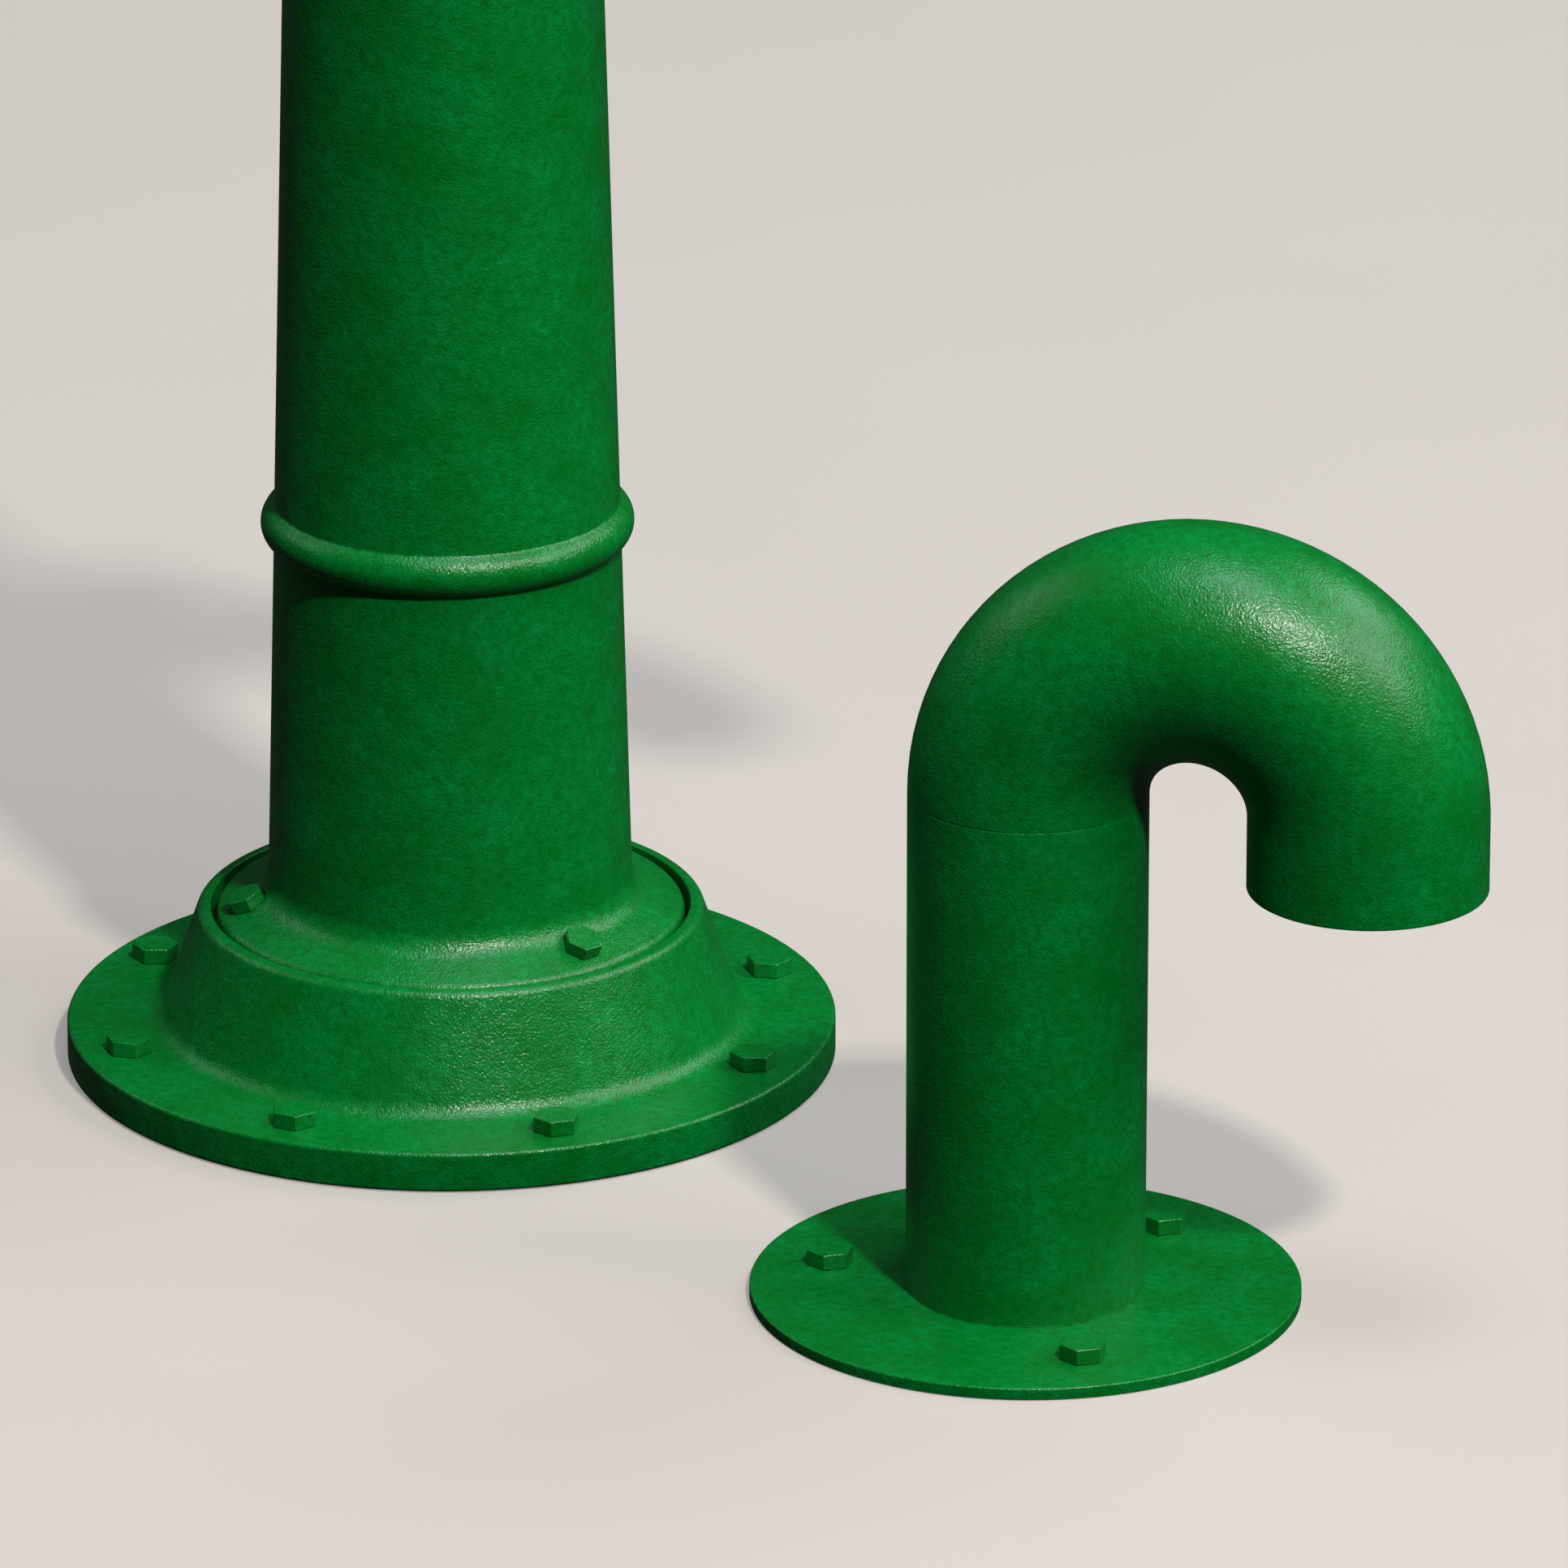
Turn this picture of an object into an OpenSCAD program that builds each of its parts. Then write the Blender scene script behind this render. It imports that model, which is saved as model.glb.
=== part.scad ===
// Hand well pump with its well-cover vent.
// Millimetres, +Z up. The origin is the pump's axis at the underside of its base flange.
// The spout points along +X and the lever hangs on the -X side.

/* [Base ring] */
// Radius of the base flange
flange_r = 180; // [176:1:220]
// Thickness of the base flange
flange_t = 19; // [14:1:24]
// Radius of the ring's wall where it meets the flange
ring_foot_r = 137; // [134:1:139]
// Radius of the ring's rounded rim
ring_rim_r = 118; // [117:0.5:122]
// Height of the rim above the slab
ring_h = 74; // [62:1:90]
// Wall of the ring below its shelf
ring_wall = 12; // [8:1:16]
// Radius of the fillet between the flange and the ring's wall
ring_fillet = 12; // [6:1:14]
// Thickness of the shelf that carries the column
shelf_t = 14; // [11:1:18]
// Number of anchor bolts in the base flange
base_bolt_n = 8; // [4:1:12]
// Radius of the anchor bolts' circle
base_bolt_circle = 157.5; // [152:0.5:164]
// Reach of the anchor bolts below the flange
anchor_reach = 40; // [25:1:80]

/* [Column] */
// Radius that the column's taper would have at the slab
column_r0 = 87.2; // [84:0.2:89]
// Radius lost for each millimetre of height
column_taper = 0.026; // [0.022:0.001:0.029]
// Height of the column's top face
column_top_z = 1000; // [900:5:1250]
// Wall of the column
column_wall = 11; // [8:0.5:13]
// Height of the middle of the column's bead
bead_z = 263.5; // [200:0.5:420]
// Height of the bead itself
bead_h = 19; // [14:1:30]
// How far the bead stands proud of the column
bead_out = 6.2; // [4:0.2:8]
// Radius of the column's foot flange
foot_r = 109.4; // [106:0.2:112]
// Slope of the foot flange's top
foot_slope = 23; // [16:1:28]
// Thickness of the foot flange at its edge
foot_edge_t = 15; // [12:0.5:20]
// Radius of the fillet between the foot flange and the column
foot_fillet = 14; // [8:1:18]
// Direction of the first foot bolt
foot_bolt_turn = -46; // [-180:1:180]
// Radius of the column's top flange
head_r = 88; // [86:1:100]
// Radius of the circle of the bonnet's bolts
head_bolt_circle = 75; // [74:0.5:76]

/* [Fasteners] */
// Thread radius of the flanges' hexagon bolts
bolt_r = 6; // [5:0.5:6.5]
// Width across the flats of the flanges' hexagon heads
bolt_af = 19; // [17:0.5:20]
// Height of the flanges' hexagon heads
bolt_head_h = 7.5; // [6:0.5:10]
// Thread radius of the foot bolts
foot_thread_r = 5; // [4:0.5:6]
// Width across the flats of the foot bolts' heads
foot_bolt_af = 16; // [13:0.5:19]
// Height of the foot bolts' heads
foot_head_h = 6.4; // [5:0.1:8]
// Thickness of the flat gaskets
gasket_t = 2; // [1:0.5:3]

/* [Spout] */
// Height of the spout's axis where it leaves the column
spout_z = 690; // [640:5:760]
// Distance from the column's axis to the face of the spout's branch
branch_x = 98; // [94:1:110]
// Outer radius of the spout's tube
spout_r = 40; // [36:1:42]
// Wall of the spout's tube
spout_wall = 7; // [5:0.5:9]
// Radius of the spout's bend
spout_bend_r = 118; // [90:1:140]
// Straight run of the spout before its bend
spout_run = 80; // [50:1:120]
// Length of the straight mouth under the bend
mouth_len = 16; // [14:1:40]
// Width of the spout's flange, from the spout's outside to its rim
spout_flange_width = 30; // [28:1:38]
// Thickness of the flanges at the spout
spout_flange_t = 12; // [9:1:16]

/* [Cylinder and piston] */
// Bore radius of the pump's cylinder
cylinder_r = 38; // [36:0.5:42]
// Wall of the cylinder
cylinder_wall = 5; // [3:0.5:6]
// Length of the cylinder
cylinder_len = 234; // [225:1:400]
// Radius of the threaded suction socket
suction_r = 20; // [16:0.5:21]
// Lift of the foot valve
foot_lift = 8; // [5:0.5:10]
// Lift of the piston's valve
piston_lift = 6; // [4:0.5:8]
// Radius of the piston rod
rod_r = 8; // [6:0.5:9]
// Running clearance round shafts
running_gap = 0.05; // [0.02:0.01:0.08]

/* [Lever] */
// Distance from the rod to the fulcrum
fulcrum_x = 95; // [88:1:104]
// Height of the fulcrum above the column's top face
fulcrum_rise = 215; // [205:1:260]
// Angle of the rod's arm above the level at rest
arm_rest = 27.5; // [20:0.5:30]
// Radius of the fulcrum pin
fulcrum_r = 10; // [8:0.5:12]
// Radius of the lever's bar at its socket
bar_r = 12; // [10:0.5:14]
// Radius of the lever's bar at its knob
bar_tip_r = 9.5; // [8:0.5:11]
// Angle of the lever's socket below the level at rest
socket_fall = 35; // [30:1:45]
// Angle of the lever's straight part below the level at rest
handle_fall = 75; // [60:1:85]
// Radius of the bend in the bar
bar_bend_r = 200; // [150:5:300]
// Length of the lever's straight part
handle_len = 370; // [250:5:500]
// Radius of the knob at the lever's end
knob_r = 22; // [18:1:28]

/* [Vent] */
// Distance from the pump's axis to the vent's axis
vent_distance = 400; // [360:1:500]
// Direction of the vent from the pump
vent_turn = -45; // [-90:1:90]
// Direction that the vent's bend faces
vent_facing = -9; // [-90:1:90]
// Radius of the vent's flange
vent_flange_r = 124.4; // [115:0.2:150]
// Thickness of the vent's flange
vent_flange_t = 5.5; // [4:0.5:10]
// Outer radius of the vent's pipe
vent_r = 54; // [48:0.5:60]
// Wall of the vent's pipe
vent_wall = 3.6; // [2.5:0.1:6]
// Height where the vent's bend begins
vent_bend_z = 241.6; // [200:1:500]
// Radius of the vent's bend
vent_bend_r = 77; // [72:1:90]
// Height of the vent's mouth
vent_mouth_z = 208.2; // [150:1:230]
// Number of bolts in the vent's flange
vent_bolt_n = 3; // [3:1:6]
// Radius of the circle of the vent's bolts
vent_bolt_circle = 91; // [84:0.5:100]

/* [Hidden] */

$fn = 96;
green = "#0b6b3a";
brass = "#b5924c";
steel = "#8d9095";
leather = "#7a5233";
rubber = "#26282a";

part_gap = 0.3;                       // between neighbours that move apart
edge_round = 2;                       // rounded edges of the castings
bolt_hole_r = bolt_r + 1;
shank_r = bolt_r + 0.25;              // plain shank above the thread
through = 1;                          // how far a cutter passes its face

// Base ring and column foot
shelf_z = ring_h - 18;
foot_z = shelf_z + gasket_t;
foot_edge_z = foot_z + foot_edge_t;
seat_r = 79;
seat_t = 10;
seat_z = foot_z + seat_t;
seat_hub_r = 31;
seat_hub_low = 14;
foot_bolt_r = 95.5;
foot_bolt_z = foot_edge_z + (foot_r - foot_bolt_r) * tan(foot_slope);
foot_bolt_len = 27;

// Foot valve
port_r = suction_r - 3;
seat_lip = 2;
valve_stem_r = 3;
foot_valve_r = port_r + 6;
seal_t = 2;
seal_z = seat_z + seat_lip + part_gap;
foot_disc_z = seal_z + seal_t;
foot_disc_t = 4;
cage_r = foot_valve_r + 10;
cage_wall = 5;
cage_top = foot_disc_z + foot_disc_t + 4 + foot_lift + part_gap;

// Lever, rod and stroke
fulcrum_z = column_top_z + fulcrum_rise;
pin_z = fulcrum_z + fulcrum_x * tan(arm_rest);
pin_r = 8;
slot_gap = 1.8;
slot_near = fulcrum_x;
slot_far = fulcrum_x / cos(arm_rest);
stroke = 2 * fulcrum_x * tan(arm_rest); // travel of the rod
plate_t = 18;                         // thickness of the lever's plate
fork_gap = plate_t + 2 * part_gap;
fork_ear = 8;
fork_r = 17;
cheek_gap = 40;                       // between the fulcrum's cheeks
cheek_t = 12;
hub_len = cheek_gap - 2 * part_gap;
hub_r = 24;
boss_r = 25;
split_pin_y = cheek_gap / 2 + cheek_t + 8.5;

// Piston
piston_low = seat_z + 37 + stroke;
cup_t = 3;
cup_h = 10;
barrel_r = 24;
piston_gap = 1.1;
cup_r = cylinder_r - 0.06;
lower_cup_z = piston_low + 6;
spacer_z = lower_cup_z + cup_t;
upper_cup_z = spacer_z + 9;
piston_cage_z = upper_cup_z + cup_t;
piston_seat_z = piston_cage_z + 9;
piston_port_r = 14;
piston_valve_r = 20;
piston_seal_z = piston_seat_z + seat_lip + part_gap;
piston_disc_z = piston_seal_z + seal_t;
piston_cage_top = piston_disc_z + foot_disc_t + 5 + piston_lift + part_gap;
rod_socket_len = 24;
rod_low = piston_cage_top + 2;
rod_top = pin_z - 36;

// Bonnet and gland
head_t = 16;
bonnet_z = column_top_z + gasket_t;
bonnet_t = 16;
dome_top = bonnet_z + bonnet_t + 34;
stuffing_z = bonnet_z + 38;
stuffing_r = 17;
bush_r = 12;
bush_len = 20;
packing_h = 18;
gland_top = bonnet_z + 68;

// Spout
spout_flange_r = spout_r + spout_flange_width;
spout_boss_r = spout_r + 4;
branch_bore_r = spout_r - spout_wall;
spout_face_x = branch_x + gasket_t;
spout_bolt_circle = spout_flange_r - 13.5;
bend_x = spout_face_x + spout_run;
mouth_x = bend_x + spout_bend_r;
mouth_top_z = spout_z - spout_bend_r;

// Lever bar
socket_r = 18;
socket_len = 100;
bar_in_socket = 60;
bar_fit = 0.2;

// Vent
vent_spin = vent_facing + 58;
screen_t = 2;
screen_z = vent_mouth_z + 12;
screen_hole_r = 2.6;
screen_pitch = 9;

function column_r(z) = column_r0 - column_taper * z;

// Cylinder between two heights
module disc(r, low, high) {
    translate([0, 0, low]) cylinder(r = r, h = high - low);
}

// Ring between two heights
module ring(r, bore, low, high) {
    difference() {
        disc(r, low, high);
        disc(bore, low - through, high + through);
    }
}

// Outline of a flange half: square at the axis side, rounded at its rim
module rim_outline(r_in, r_out, low, high, round_r) {
    translate([r_in, low]) square([r_out - round_r - r_in, high - low]);
    translate([r_in, low + round_r]) square([r_out - r_in, high - low - 2 * round_r]);
    translate([r_out - round_r, low + round_r]) circle(r = round_r);
    translate([r_out - round_r, high - round_r]) circle(r = round_r);
}

// Outline of a fillet in the corner at [r, z], opening outwards and up or down
module fillet_outline(r, z, round_r, up) {
    difference() {
        translate([r, up > 0 ? z : z - round_r]) square([round_r, round_r]);
        translate([r + round_r, z + up * round_r]) circle(r = round_r);
    }
}

// Copies of the children round the Z axis
module around(count, start = 0) {
    for (i = [0 : count - 1]) rotate(start + i * 360 / count) children();
}

// Hexagon prism with its top corners turned off and a flat square to +X
module hexagon(af, low, high, bevel = 0.8) {
    corner = af / 2 / cos(30);
    intersection() {
        translate([0, 0, low]) rotate(30) cylinder(r = corner, h = high - low, $fn = 6);
        rotate_extrude() polygon([
            [0, low], [corner, low], [corner, high - bevel * 0.6],
            [corner - bevel, high], [0, high],
        ]);
    }
}

// Hexagon bolt: head above z = 0, plain shank of one length, thread below it
module hex_bolt(plain, thread) {
    hexagon(bolt_af, 0, bolt_head_h);
    disc(shank_r, -plain, 0);
    disc(bolt_r, -plain - thread, -plain);
}

// Place of one foot bolt, normal to the sloping foot flange
module at_foot_bolts() {
    around(3, foot_bolt_turn)
        translate([foot_bolt_r, 0, foot_bolt_z]) rotate([0, foot_slope, 0]) children();
}

module base_ring() {
    shelf_under = shelf_z - shelf_t;
    lip_in_r = foot_r + 2.6;
    lip_r = (ring_rim_r - lip_in_r) / 2;
    lean = atan((ring_foot_r - ring_rim_r) / (ring_h - lip_r - flange_t));
    ring_fillet_x = ring_foot_r + ring_fillet * (1 / cos(lean) - tan(lean));
    color(green) difference() {
        rotate_extrude() {
            rim_outline(ring_foot_r - ring_wall, flange_r, 0, flange_t, edge_round);
            translate([ring_foot_r - ring_wall, 0]) square([flange_r - ring_foot_r, edge_round]);
            polygon([
                [ring_foot_r - ring_wall, 0], [ring_foot_r, 0], [ring_foot_r, flange_t],
                [ring_rim_r, ring_h - lip_r], [lip_in_r, ring_h - lip_r],
                [lip_in_r, shelf_z], [seat_hub_r + 2, shelf_z],
                [seat_hub_r + 2, shelf_under], [ring_rim_r - ring_wall, shelf_under],
            ]);
            translate([lip_in_r + lip_r, ring_h - lip_r]) circle(r = lip_r);
            difference() {
                polygon([
                    [ring_foot_r - ring_wall, flange_t], [ring_fillet_x, flange_t],
                    [ring_fillet_x - ring_fillet * cos(lean), flange_t + ring_fillet * (1 - sin(lean))],
                ]);
                translate([ring_fillet_x, flange_t + ring_fillet]) circle(r = ring_fillet);
            }
        }
        around(base_bolt_n, 180 / base_bolt_n) translate([base_bolt_circle, 0, 0])
            disc(bolt_hole_r, -through, flange_t + through);
        at_foot_bolts() disc(foot_thread_r, -foot_bolt_len - 6, 0);
    }
}

module base_bolts() {
    color(green) around(base_bolt_n, 180 / base_bolt_n)
        translate([base_bolt_circle, 0, flange_t]) hex_bolt(flange_t, anchor_reach);
}

module foot_gasket() {
    color(rubber) difference() {
        ring(foot_r, seat_hub_r + 2, shelf_z, foot_z);
        at_foot_bolts() disc(foot_thread_r + 0.5, -foot_bolt_len - 6, 0);
    }
}

module column_outline() {
    top_r = column_r(column_top_z);
    slope = tan(foot_slope);
    wall_foot_z = foot_edge_z + (foot_r - column_r(foot_edge_z)) * slope;
    fillet_r = foot_fillet;
    polygon([
        [0, foot_z], [foot_r, foot_z], [foot_r, foot_edge_z - 1], [foot_r - 1, foot_edge_z + slope],
        [column_r(wall_foot_z), wall_foot_z], [top_r, column_top_z], [0, column_top_z],
    ]);
    fillet_z = (foot_edge_z * cos(foot_slope) + foot_r * sin(foot_slope) + fillet_r
        - (column_r(foot_edge_z + 15) + fillet_r) * sin(foot_slope)) / cos(foot_slope);
    fillet_x = column_r(fillet_z) + fillet_r;
    difference() {
        polygon([
            [column_r(foot_z), foot_edge_z], [foot_r - 2, foot_edge_z],
            [fillet_x - fillet_r * sin(foot_slope), fillet_z - fillet_r * cos(foot_slope)],
            [column_r(fillet_z), fillet_z],
        ]);
        translate([fillet_x, fillet_z]) circle(r = fillet_r);
    }
    bead_curve = (pow(bead_h / 2, 2) + pow(bead_out, 2)) / (2 * bead_out);
    translate([column_r(bead_z) + bead_out - bead_curve, bead_z]) circle(r = bead_curve);
    rim_outline(0, head_r, column_top_z - head_t, column_top_z, edge_round);
    fillet_outline(column_r(column_top_z - head_t - 4), column_top_z - head_t, 8, -1);
}

module column() {
    bore_low = seat_r - 8;
    bore_top = column_r(column_top_z) - column_wall;
    color(green) difference() {
        union() {
            rotate_extrude() intersection() {
                column_outline();
                square([foot_r + 1, column_top_z]);
            }
            rotate([0, 90, 0]) translate([-spout_z, 0, 0]) {
                disc(spout_boss_r, 0, branch_x - spout_flange_t);
                disc(spout_flange_r, branch_x - spout_flange_t, branch_x);
            }
        }
        rotate_extrude() polygon([
            [0, foot_z - through], [seat_r + part_gap, foot_z - through],
            [seat_r + part_gap, seat_z], [bore_low, seat_z], [bore_low, seat_z + 30],
            [bore_top, column_top_z + through], [0, column_top_z + through],
        ]);
        rotate([0, 90, 0]) translate([-spout_z, 0, 0]) {
            disc(branch_bore_r, 0, branch_x + through);
            around(4, 45) translate([spout_bolt_circle, 0, 0])
                disc(bolt_hole_r, branch_x - spout_flange_t - through, branch_x + through);
        }
        at_foot_bolts() {
            disc(foot_thread_r + 0.5, -foot_bolt_len, 1);
            disc(foot_bolt_af / 2 / cos(30) + 0.8, 0, 16);
        }
        around(4, 45) translate([head_bolt_circle, 0, 0])
            disc(bolt_r, column_top_z - head_t - through, column_top_z + through);
    }
}

module foot_bolts() {
    color(green) at_foot_bolts() {
        hexagon(foot_bolt_af, 0, foot_head_h);
        disc(foot_thread_r, -foot_bolt_len, 0);
    }
}

// Three ribs that hold a stem guide in the middle of a port
module stem_guide(port, low, high) {
    intersection() {
        disc(port + 1, low, high);
        union() {
            disc(valve_stem_r + 4, low, high);
            around(3) translate([0, -2, low]) cube([port + 1, 4, high - low]);
        }
    }
}

module valve_seat() {
    guide_low = seat_z - 22;
    color(brass) difference() {
        union() {
            difference() {
                union() {
                    disc(seat_r, foot_z, seat_z);
                    disc(seat_hub_r, seat_hub_low, foot_z + 1);
                    disc(port_r + 5, seat_z - 1, seat_z + seat_lip);
                    ring(cylinder_r + cylinder_wall + 6, cylinder_r + cylinder_wall, seat_z - 1, seat_z + 12);
                }
                disc(suction_r, seat_hub_low - through, seat_hub_low + 30);
                disc(port_r, seat_hub_low, seat_z + seat_lip + through);
            }
            stem_guide(port_r, guide_low, guide_low + 10);
        }
        disc(valve_stem_r + running_gap, guide_low - through, guide_low + 10 + through);
    }
}

module foot_valve() {
    guide_low = seat_z - 22;
    color(brass) {
        disc(foot_valve_r, foot_disc_z, foot_disc_z + foot_disc_t);
        disc(7, foot_disc_z + foot_disc_t - 1, foot_disc_z + foot_disc_t + 4);
        disc(valve_stem_r, guide_low - 1, foot_disc_z + 1);
    }
}

module foot_valve_seal() {
    color(leather) ring(foot_valve_r - 0.5, valve_stem_r, seal_z, foot_disc_z);
}

// Cap with flow holes and three side windows that limits a valve's lift
module lift_cage(r, wall, low, under, high) {
    difference() {
        disc(r, low, high);
        disc(r - wall, low - through, under);
        around(3, 60) translate([0, -r * 0.55, low + 6]) cube([r + 1, r * 1.1, under - low - 8]);
        around(6, 30) translate([r * 0.62, 0, 0]) disc(r * 0.17, under - through, high + through);
    }
}

module valve_cage() {
    color(brass) lift_cage(cage_r, cage_wall, seat_z, cage_top, cage_top + 4);
}

module cylinder_tube() {
    color(brass) ring(cylinder_r + cylinder_wall, cylinder_r, seat_z, seat_z + cylinder_len);
}

module piston_body() {
    guide_low = piston_seat_z - 20;
    color(brass) difference() {
        union() {
            difference() {
                union() {
                    disc(cylinder_r - piston_gap, piston_low, lower_cup_z);
                    disc(barrel_r, piston_low, piston_seat_z);
                    disc(piston_port_r + 4, piston_seat_z - 1, piston_seat_z + seat_lip);
                }
                disc(piston_port_r, piston_low - through, piston_seat_z + seat_lip + through);
            }
            stem_guide(piston_port_r, guide_low, guide_low + 8);
        }
        disc(valve_stem_r + running_gap, guide_low - through, guide_low + 8 + through);
    }
}

// Cup leather: a flat washer with its rim turned up against the bore
module cup(low) {
    color(leather) difference() {
        disc(cup_r, low, low + cup_h - 1);
        disc(cup_r - cup_t, low + cup_t, low + cup_h);
        disc(barrel_r, low - through, low + cup_h);
    }
}

module cup_lower() {
    cup(lower_cup_z);
}

module cup_spacer() {
    color(brass) ring(cup_r - cup_t - 0.2, barrel_r, spacer_z, upper_cup_z);
}

module cup_upper() {
    cup(upper_cup_z);
}

module piston_cage() {
    r = cup_r - cup_t - 0.2;
    boss_top = piston_cage_top + 4 + rod_socket_len;
    color(brass) difference() {
        union() {
            lift_cage(r, 6, piston_seat_z, piston_cage_top, piston_cage_top + 6);
            ring(r, barrel_r, piston_cage_z, piston_seat_z + 1);
            disc(rod_r + 6, piston_cage_top + 1, boss_top);
        }
        disc(rod_r, rod_low, boss_top + through);
    }
}

module piston_valve() {
    guide_low = piston_seat_z - 20;
    color(brass) {
        disc(piston_valve_r, piston_disc_z, piston_disc_z + foot_disc_t);
        disc(6, piston_disc_z + foot_disc_t - 1, piston_disc_z + foot_disc_t + 5);
        disc(valve_stem_r, guide_low - 3, piston_disc_z + 1);
    }
}

module piston_valve_seal() {
    color(leather) ring(piston_valve_r - 0.5, valve_stem_r, piston_seal_z, piston_disc_z);
}

module piston_rod() {
    color(steel) disc(rod_r, rod_low, rod_top);
}

module rod_lock_nut() {
    low = piston_cage_top + 4 + rod_socket_len;
    color(brass) difference() {
        hexagon(rod_r * 3, low, low + 9);
        disc(rod_r, low - through, low + 10);
    }
}

module rod_fork() {
    ears = fork_gap + 2 * fork_ear;
    neck = pin_z - 28;
    color(green) difference() {
        union() {
            disc(rod_r + 6, rod_top - 16, neck + 1);
            intersection() {
                union() {
                    translate([0, ears / 2, pin_z]) rotate([90, 0, 0]) cylinder(r = fork_r, h = ears);
                    translate([-fork_r, -ears / 2, neck - 6]) cube([2 * fork_r, ears, pin_z - neck + 6]);
                }
                disc(fork_r + 5, neck - 10, pin_z + 2 * fork_r);
            }
        }
        translate([-2 * fork_r, -fork_gap / 2, neck]) cube([4 * fork_r, fork_gap, 4 * fork_r]);
        translate([0, ears, pin_z]) rotate([90, 0, 0]) cylinder(r = pin_r, h = 2 * ears);
        disc(rod_r, rod_top - 18, rod_top);
    }
}

module cross_pin() {
    half = fork_gap / 2 + fork_ear;
    color(steel) translate([0, half + 3, pin_z]) rotate([90, 0, 0]) difference() {
        cylinder(r = pin_r, h = 2 * half + 6);
        for (z = [1, 2 * half + 3.8]) translate([0, 0, z]) ring(pin_r + 1, pin_r - 1, 0, 1.2);
    }
}

module cross_pin_clips() {
    half = fork_gap / 2 + fork_ear;
    color(steel) for (y = [half + 0.8, -half - 2]) translate([0, y + 1.2, pin_z]) rotate([90, 0, 0])
        ring(pin_r + 3, pin_r - 1, 0, 1.2);
}

module bonnet_gasket() {
    color(rubber) difference() {
        ring(head_r - 1, column_r(column_top_z) - column_wall, column_top_z, bonnet_z);
        around(4, 45) translate([head_bolt_circle, 0, 0])
            disc(bolt_r + 0.5, column_top_z - through, bonnet_z + through);
    }
}

// One of the two upright cheeks that carry the fulcrum pin
module cheek() {
    base_z = bonnet_z + bonnet_t - 4;
    translate([0, cheek_t, 0]) rotate([90, 0, 0]) linear_extrude(cheek_t) {
        polygon([
            [-fulcrum_x + 15, base_z], [-stuffing_r - 11, base_z], [-stuffing_r - 22, dome_top],
            [-fulcrum_x + boss_r - 1, fulcrum_z + 4], [-fulcrum_x - boss_r + 1, fulcrum_z + 4],
            [-fulcrum_x - boss_r + 1, fulcrum_z - 60],
        ]);
        translate([-fulcrum_x, fulcrum_z]) circle(r = boss_r);
    }
}

module bonnet() {
    face = bonnet_z + bonnet_t;
    web_top = fulcrum_z - 38;
    cavity_r = column_r(column_top_z) - column_wall;
    color(green) difference() {
        union() {
            rotate_extrude() intersection() {
                union() {
                    rim_outline(0, head_r, bonnet_z, face, edge_round);
                    polygon([
                        [0, face - 1], [56, face - 1], [50, face + 8],
                        [stuffing_r + 14, dome_top], [0, dome_top],
                    ]);
                    rim_outline(0, stuffing_r + 9, dome_top - 10, gland_top, 3);
                }
                square([head_r + 1, gland_top]);
            }
            for (side = [0, 1]) mirror([0, side, 0]) translate([0, cheek_gap / 2, 0]) cheek();
            translate([-fulcrum_x - boss_r + 3, -cheek_gap / 2 - 1, web_top - 46])
                cube([10, cheek_gap + 2, 46]);
        }
        rotate_extrude() polygon([
            [0, bonnet_z - through], [cavity_r, bonnet_z - through], [cavity_r, bonnet_z + 6],
            [bush_r + 8, stuffing_z - bush_len], [0, stuffing_z - bush_len],
        ]);
        disc(bush_r, bonnet_z, stuffing_z + through);
        disc(stuffing_r, stuffing_z, gland_top + through);
        around(4, 45) translate([head_bolt_circle, 0, 0])
            disc(bolt_r + 0.5, bonnet_z - through, face + 20);
        translate([-fulcrum_x, cheek_gap, fulcrum_z]) rotate([90, 0, 0])
            cylinder(r = fulcrum_r, h = 2 * cheek_gap);
    }
}

module bonnet_bolts() {
    color(green) around(4, 45) translate([head_bolt_circle, 0, bonnet_z + bonnet_t]) {
        hexagon(bolt_af, 0, bolt_head_h);
        disc(bolt_r, -bonnet_t - gasket_t - head_t, 0);
    }
}

module guide_bush() {
    color(brass) ring(bush_r, rod_r + running_gap, stuffing_z - bush_len, stuffing_z);
}

module gland_packing() {
    color(leather) ring(stuffing_r, rod_r + running_gap, stuffing_z, stuffing_z + packing_h);
}

module gland_nut() {
    color(brass) difference() {
        union() {
            disc(stuffing_r, stuffing_z + packing_h, gland_top);
            hexagon(2 * stuffing_r + 14, gland_top, gland_top + 14, 2.4);
        }
        disc(rod_r + 3 * running_gap, stuffing_z, gland_top + 20);
    }
}

// Turns a Z-up shape so that it points along +X at the spout's height
module at_branch() {
    translate([0, 0, spout_z]) rotate([0, 90, 0]) children();
}

module spout_gasket() {
    color(rubber) at_branch() difference() {
        ring(spout_flange_r - 1, branch_bore_r, branch_x, spout_face_x);
        around(4, 45) translate([spout_bolt_circle, 0, 0])
            disc(bolt_hole_r, branch_x - through, spout_face_x + through);
    }
}

// Solid body of the spout for one tube radius, with its passage left for a second call
module spout_tube(r, past) {
    at_branch() disc(r, spout_face_x - past, bend_x);
    translate([bend_x, 0, mouth_top_z]) rotate([90, 0, 0]) rotate_extrude(angle = 90)
        translate([spout_bend_r, 0]) circle(r = r);
    translate([mouth_x, 0, 0]) disc(r, mouth_top_z - mouth_len - past, mouth_top_z);
}

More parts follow.
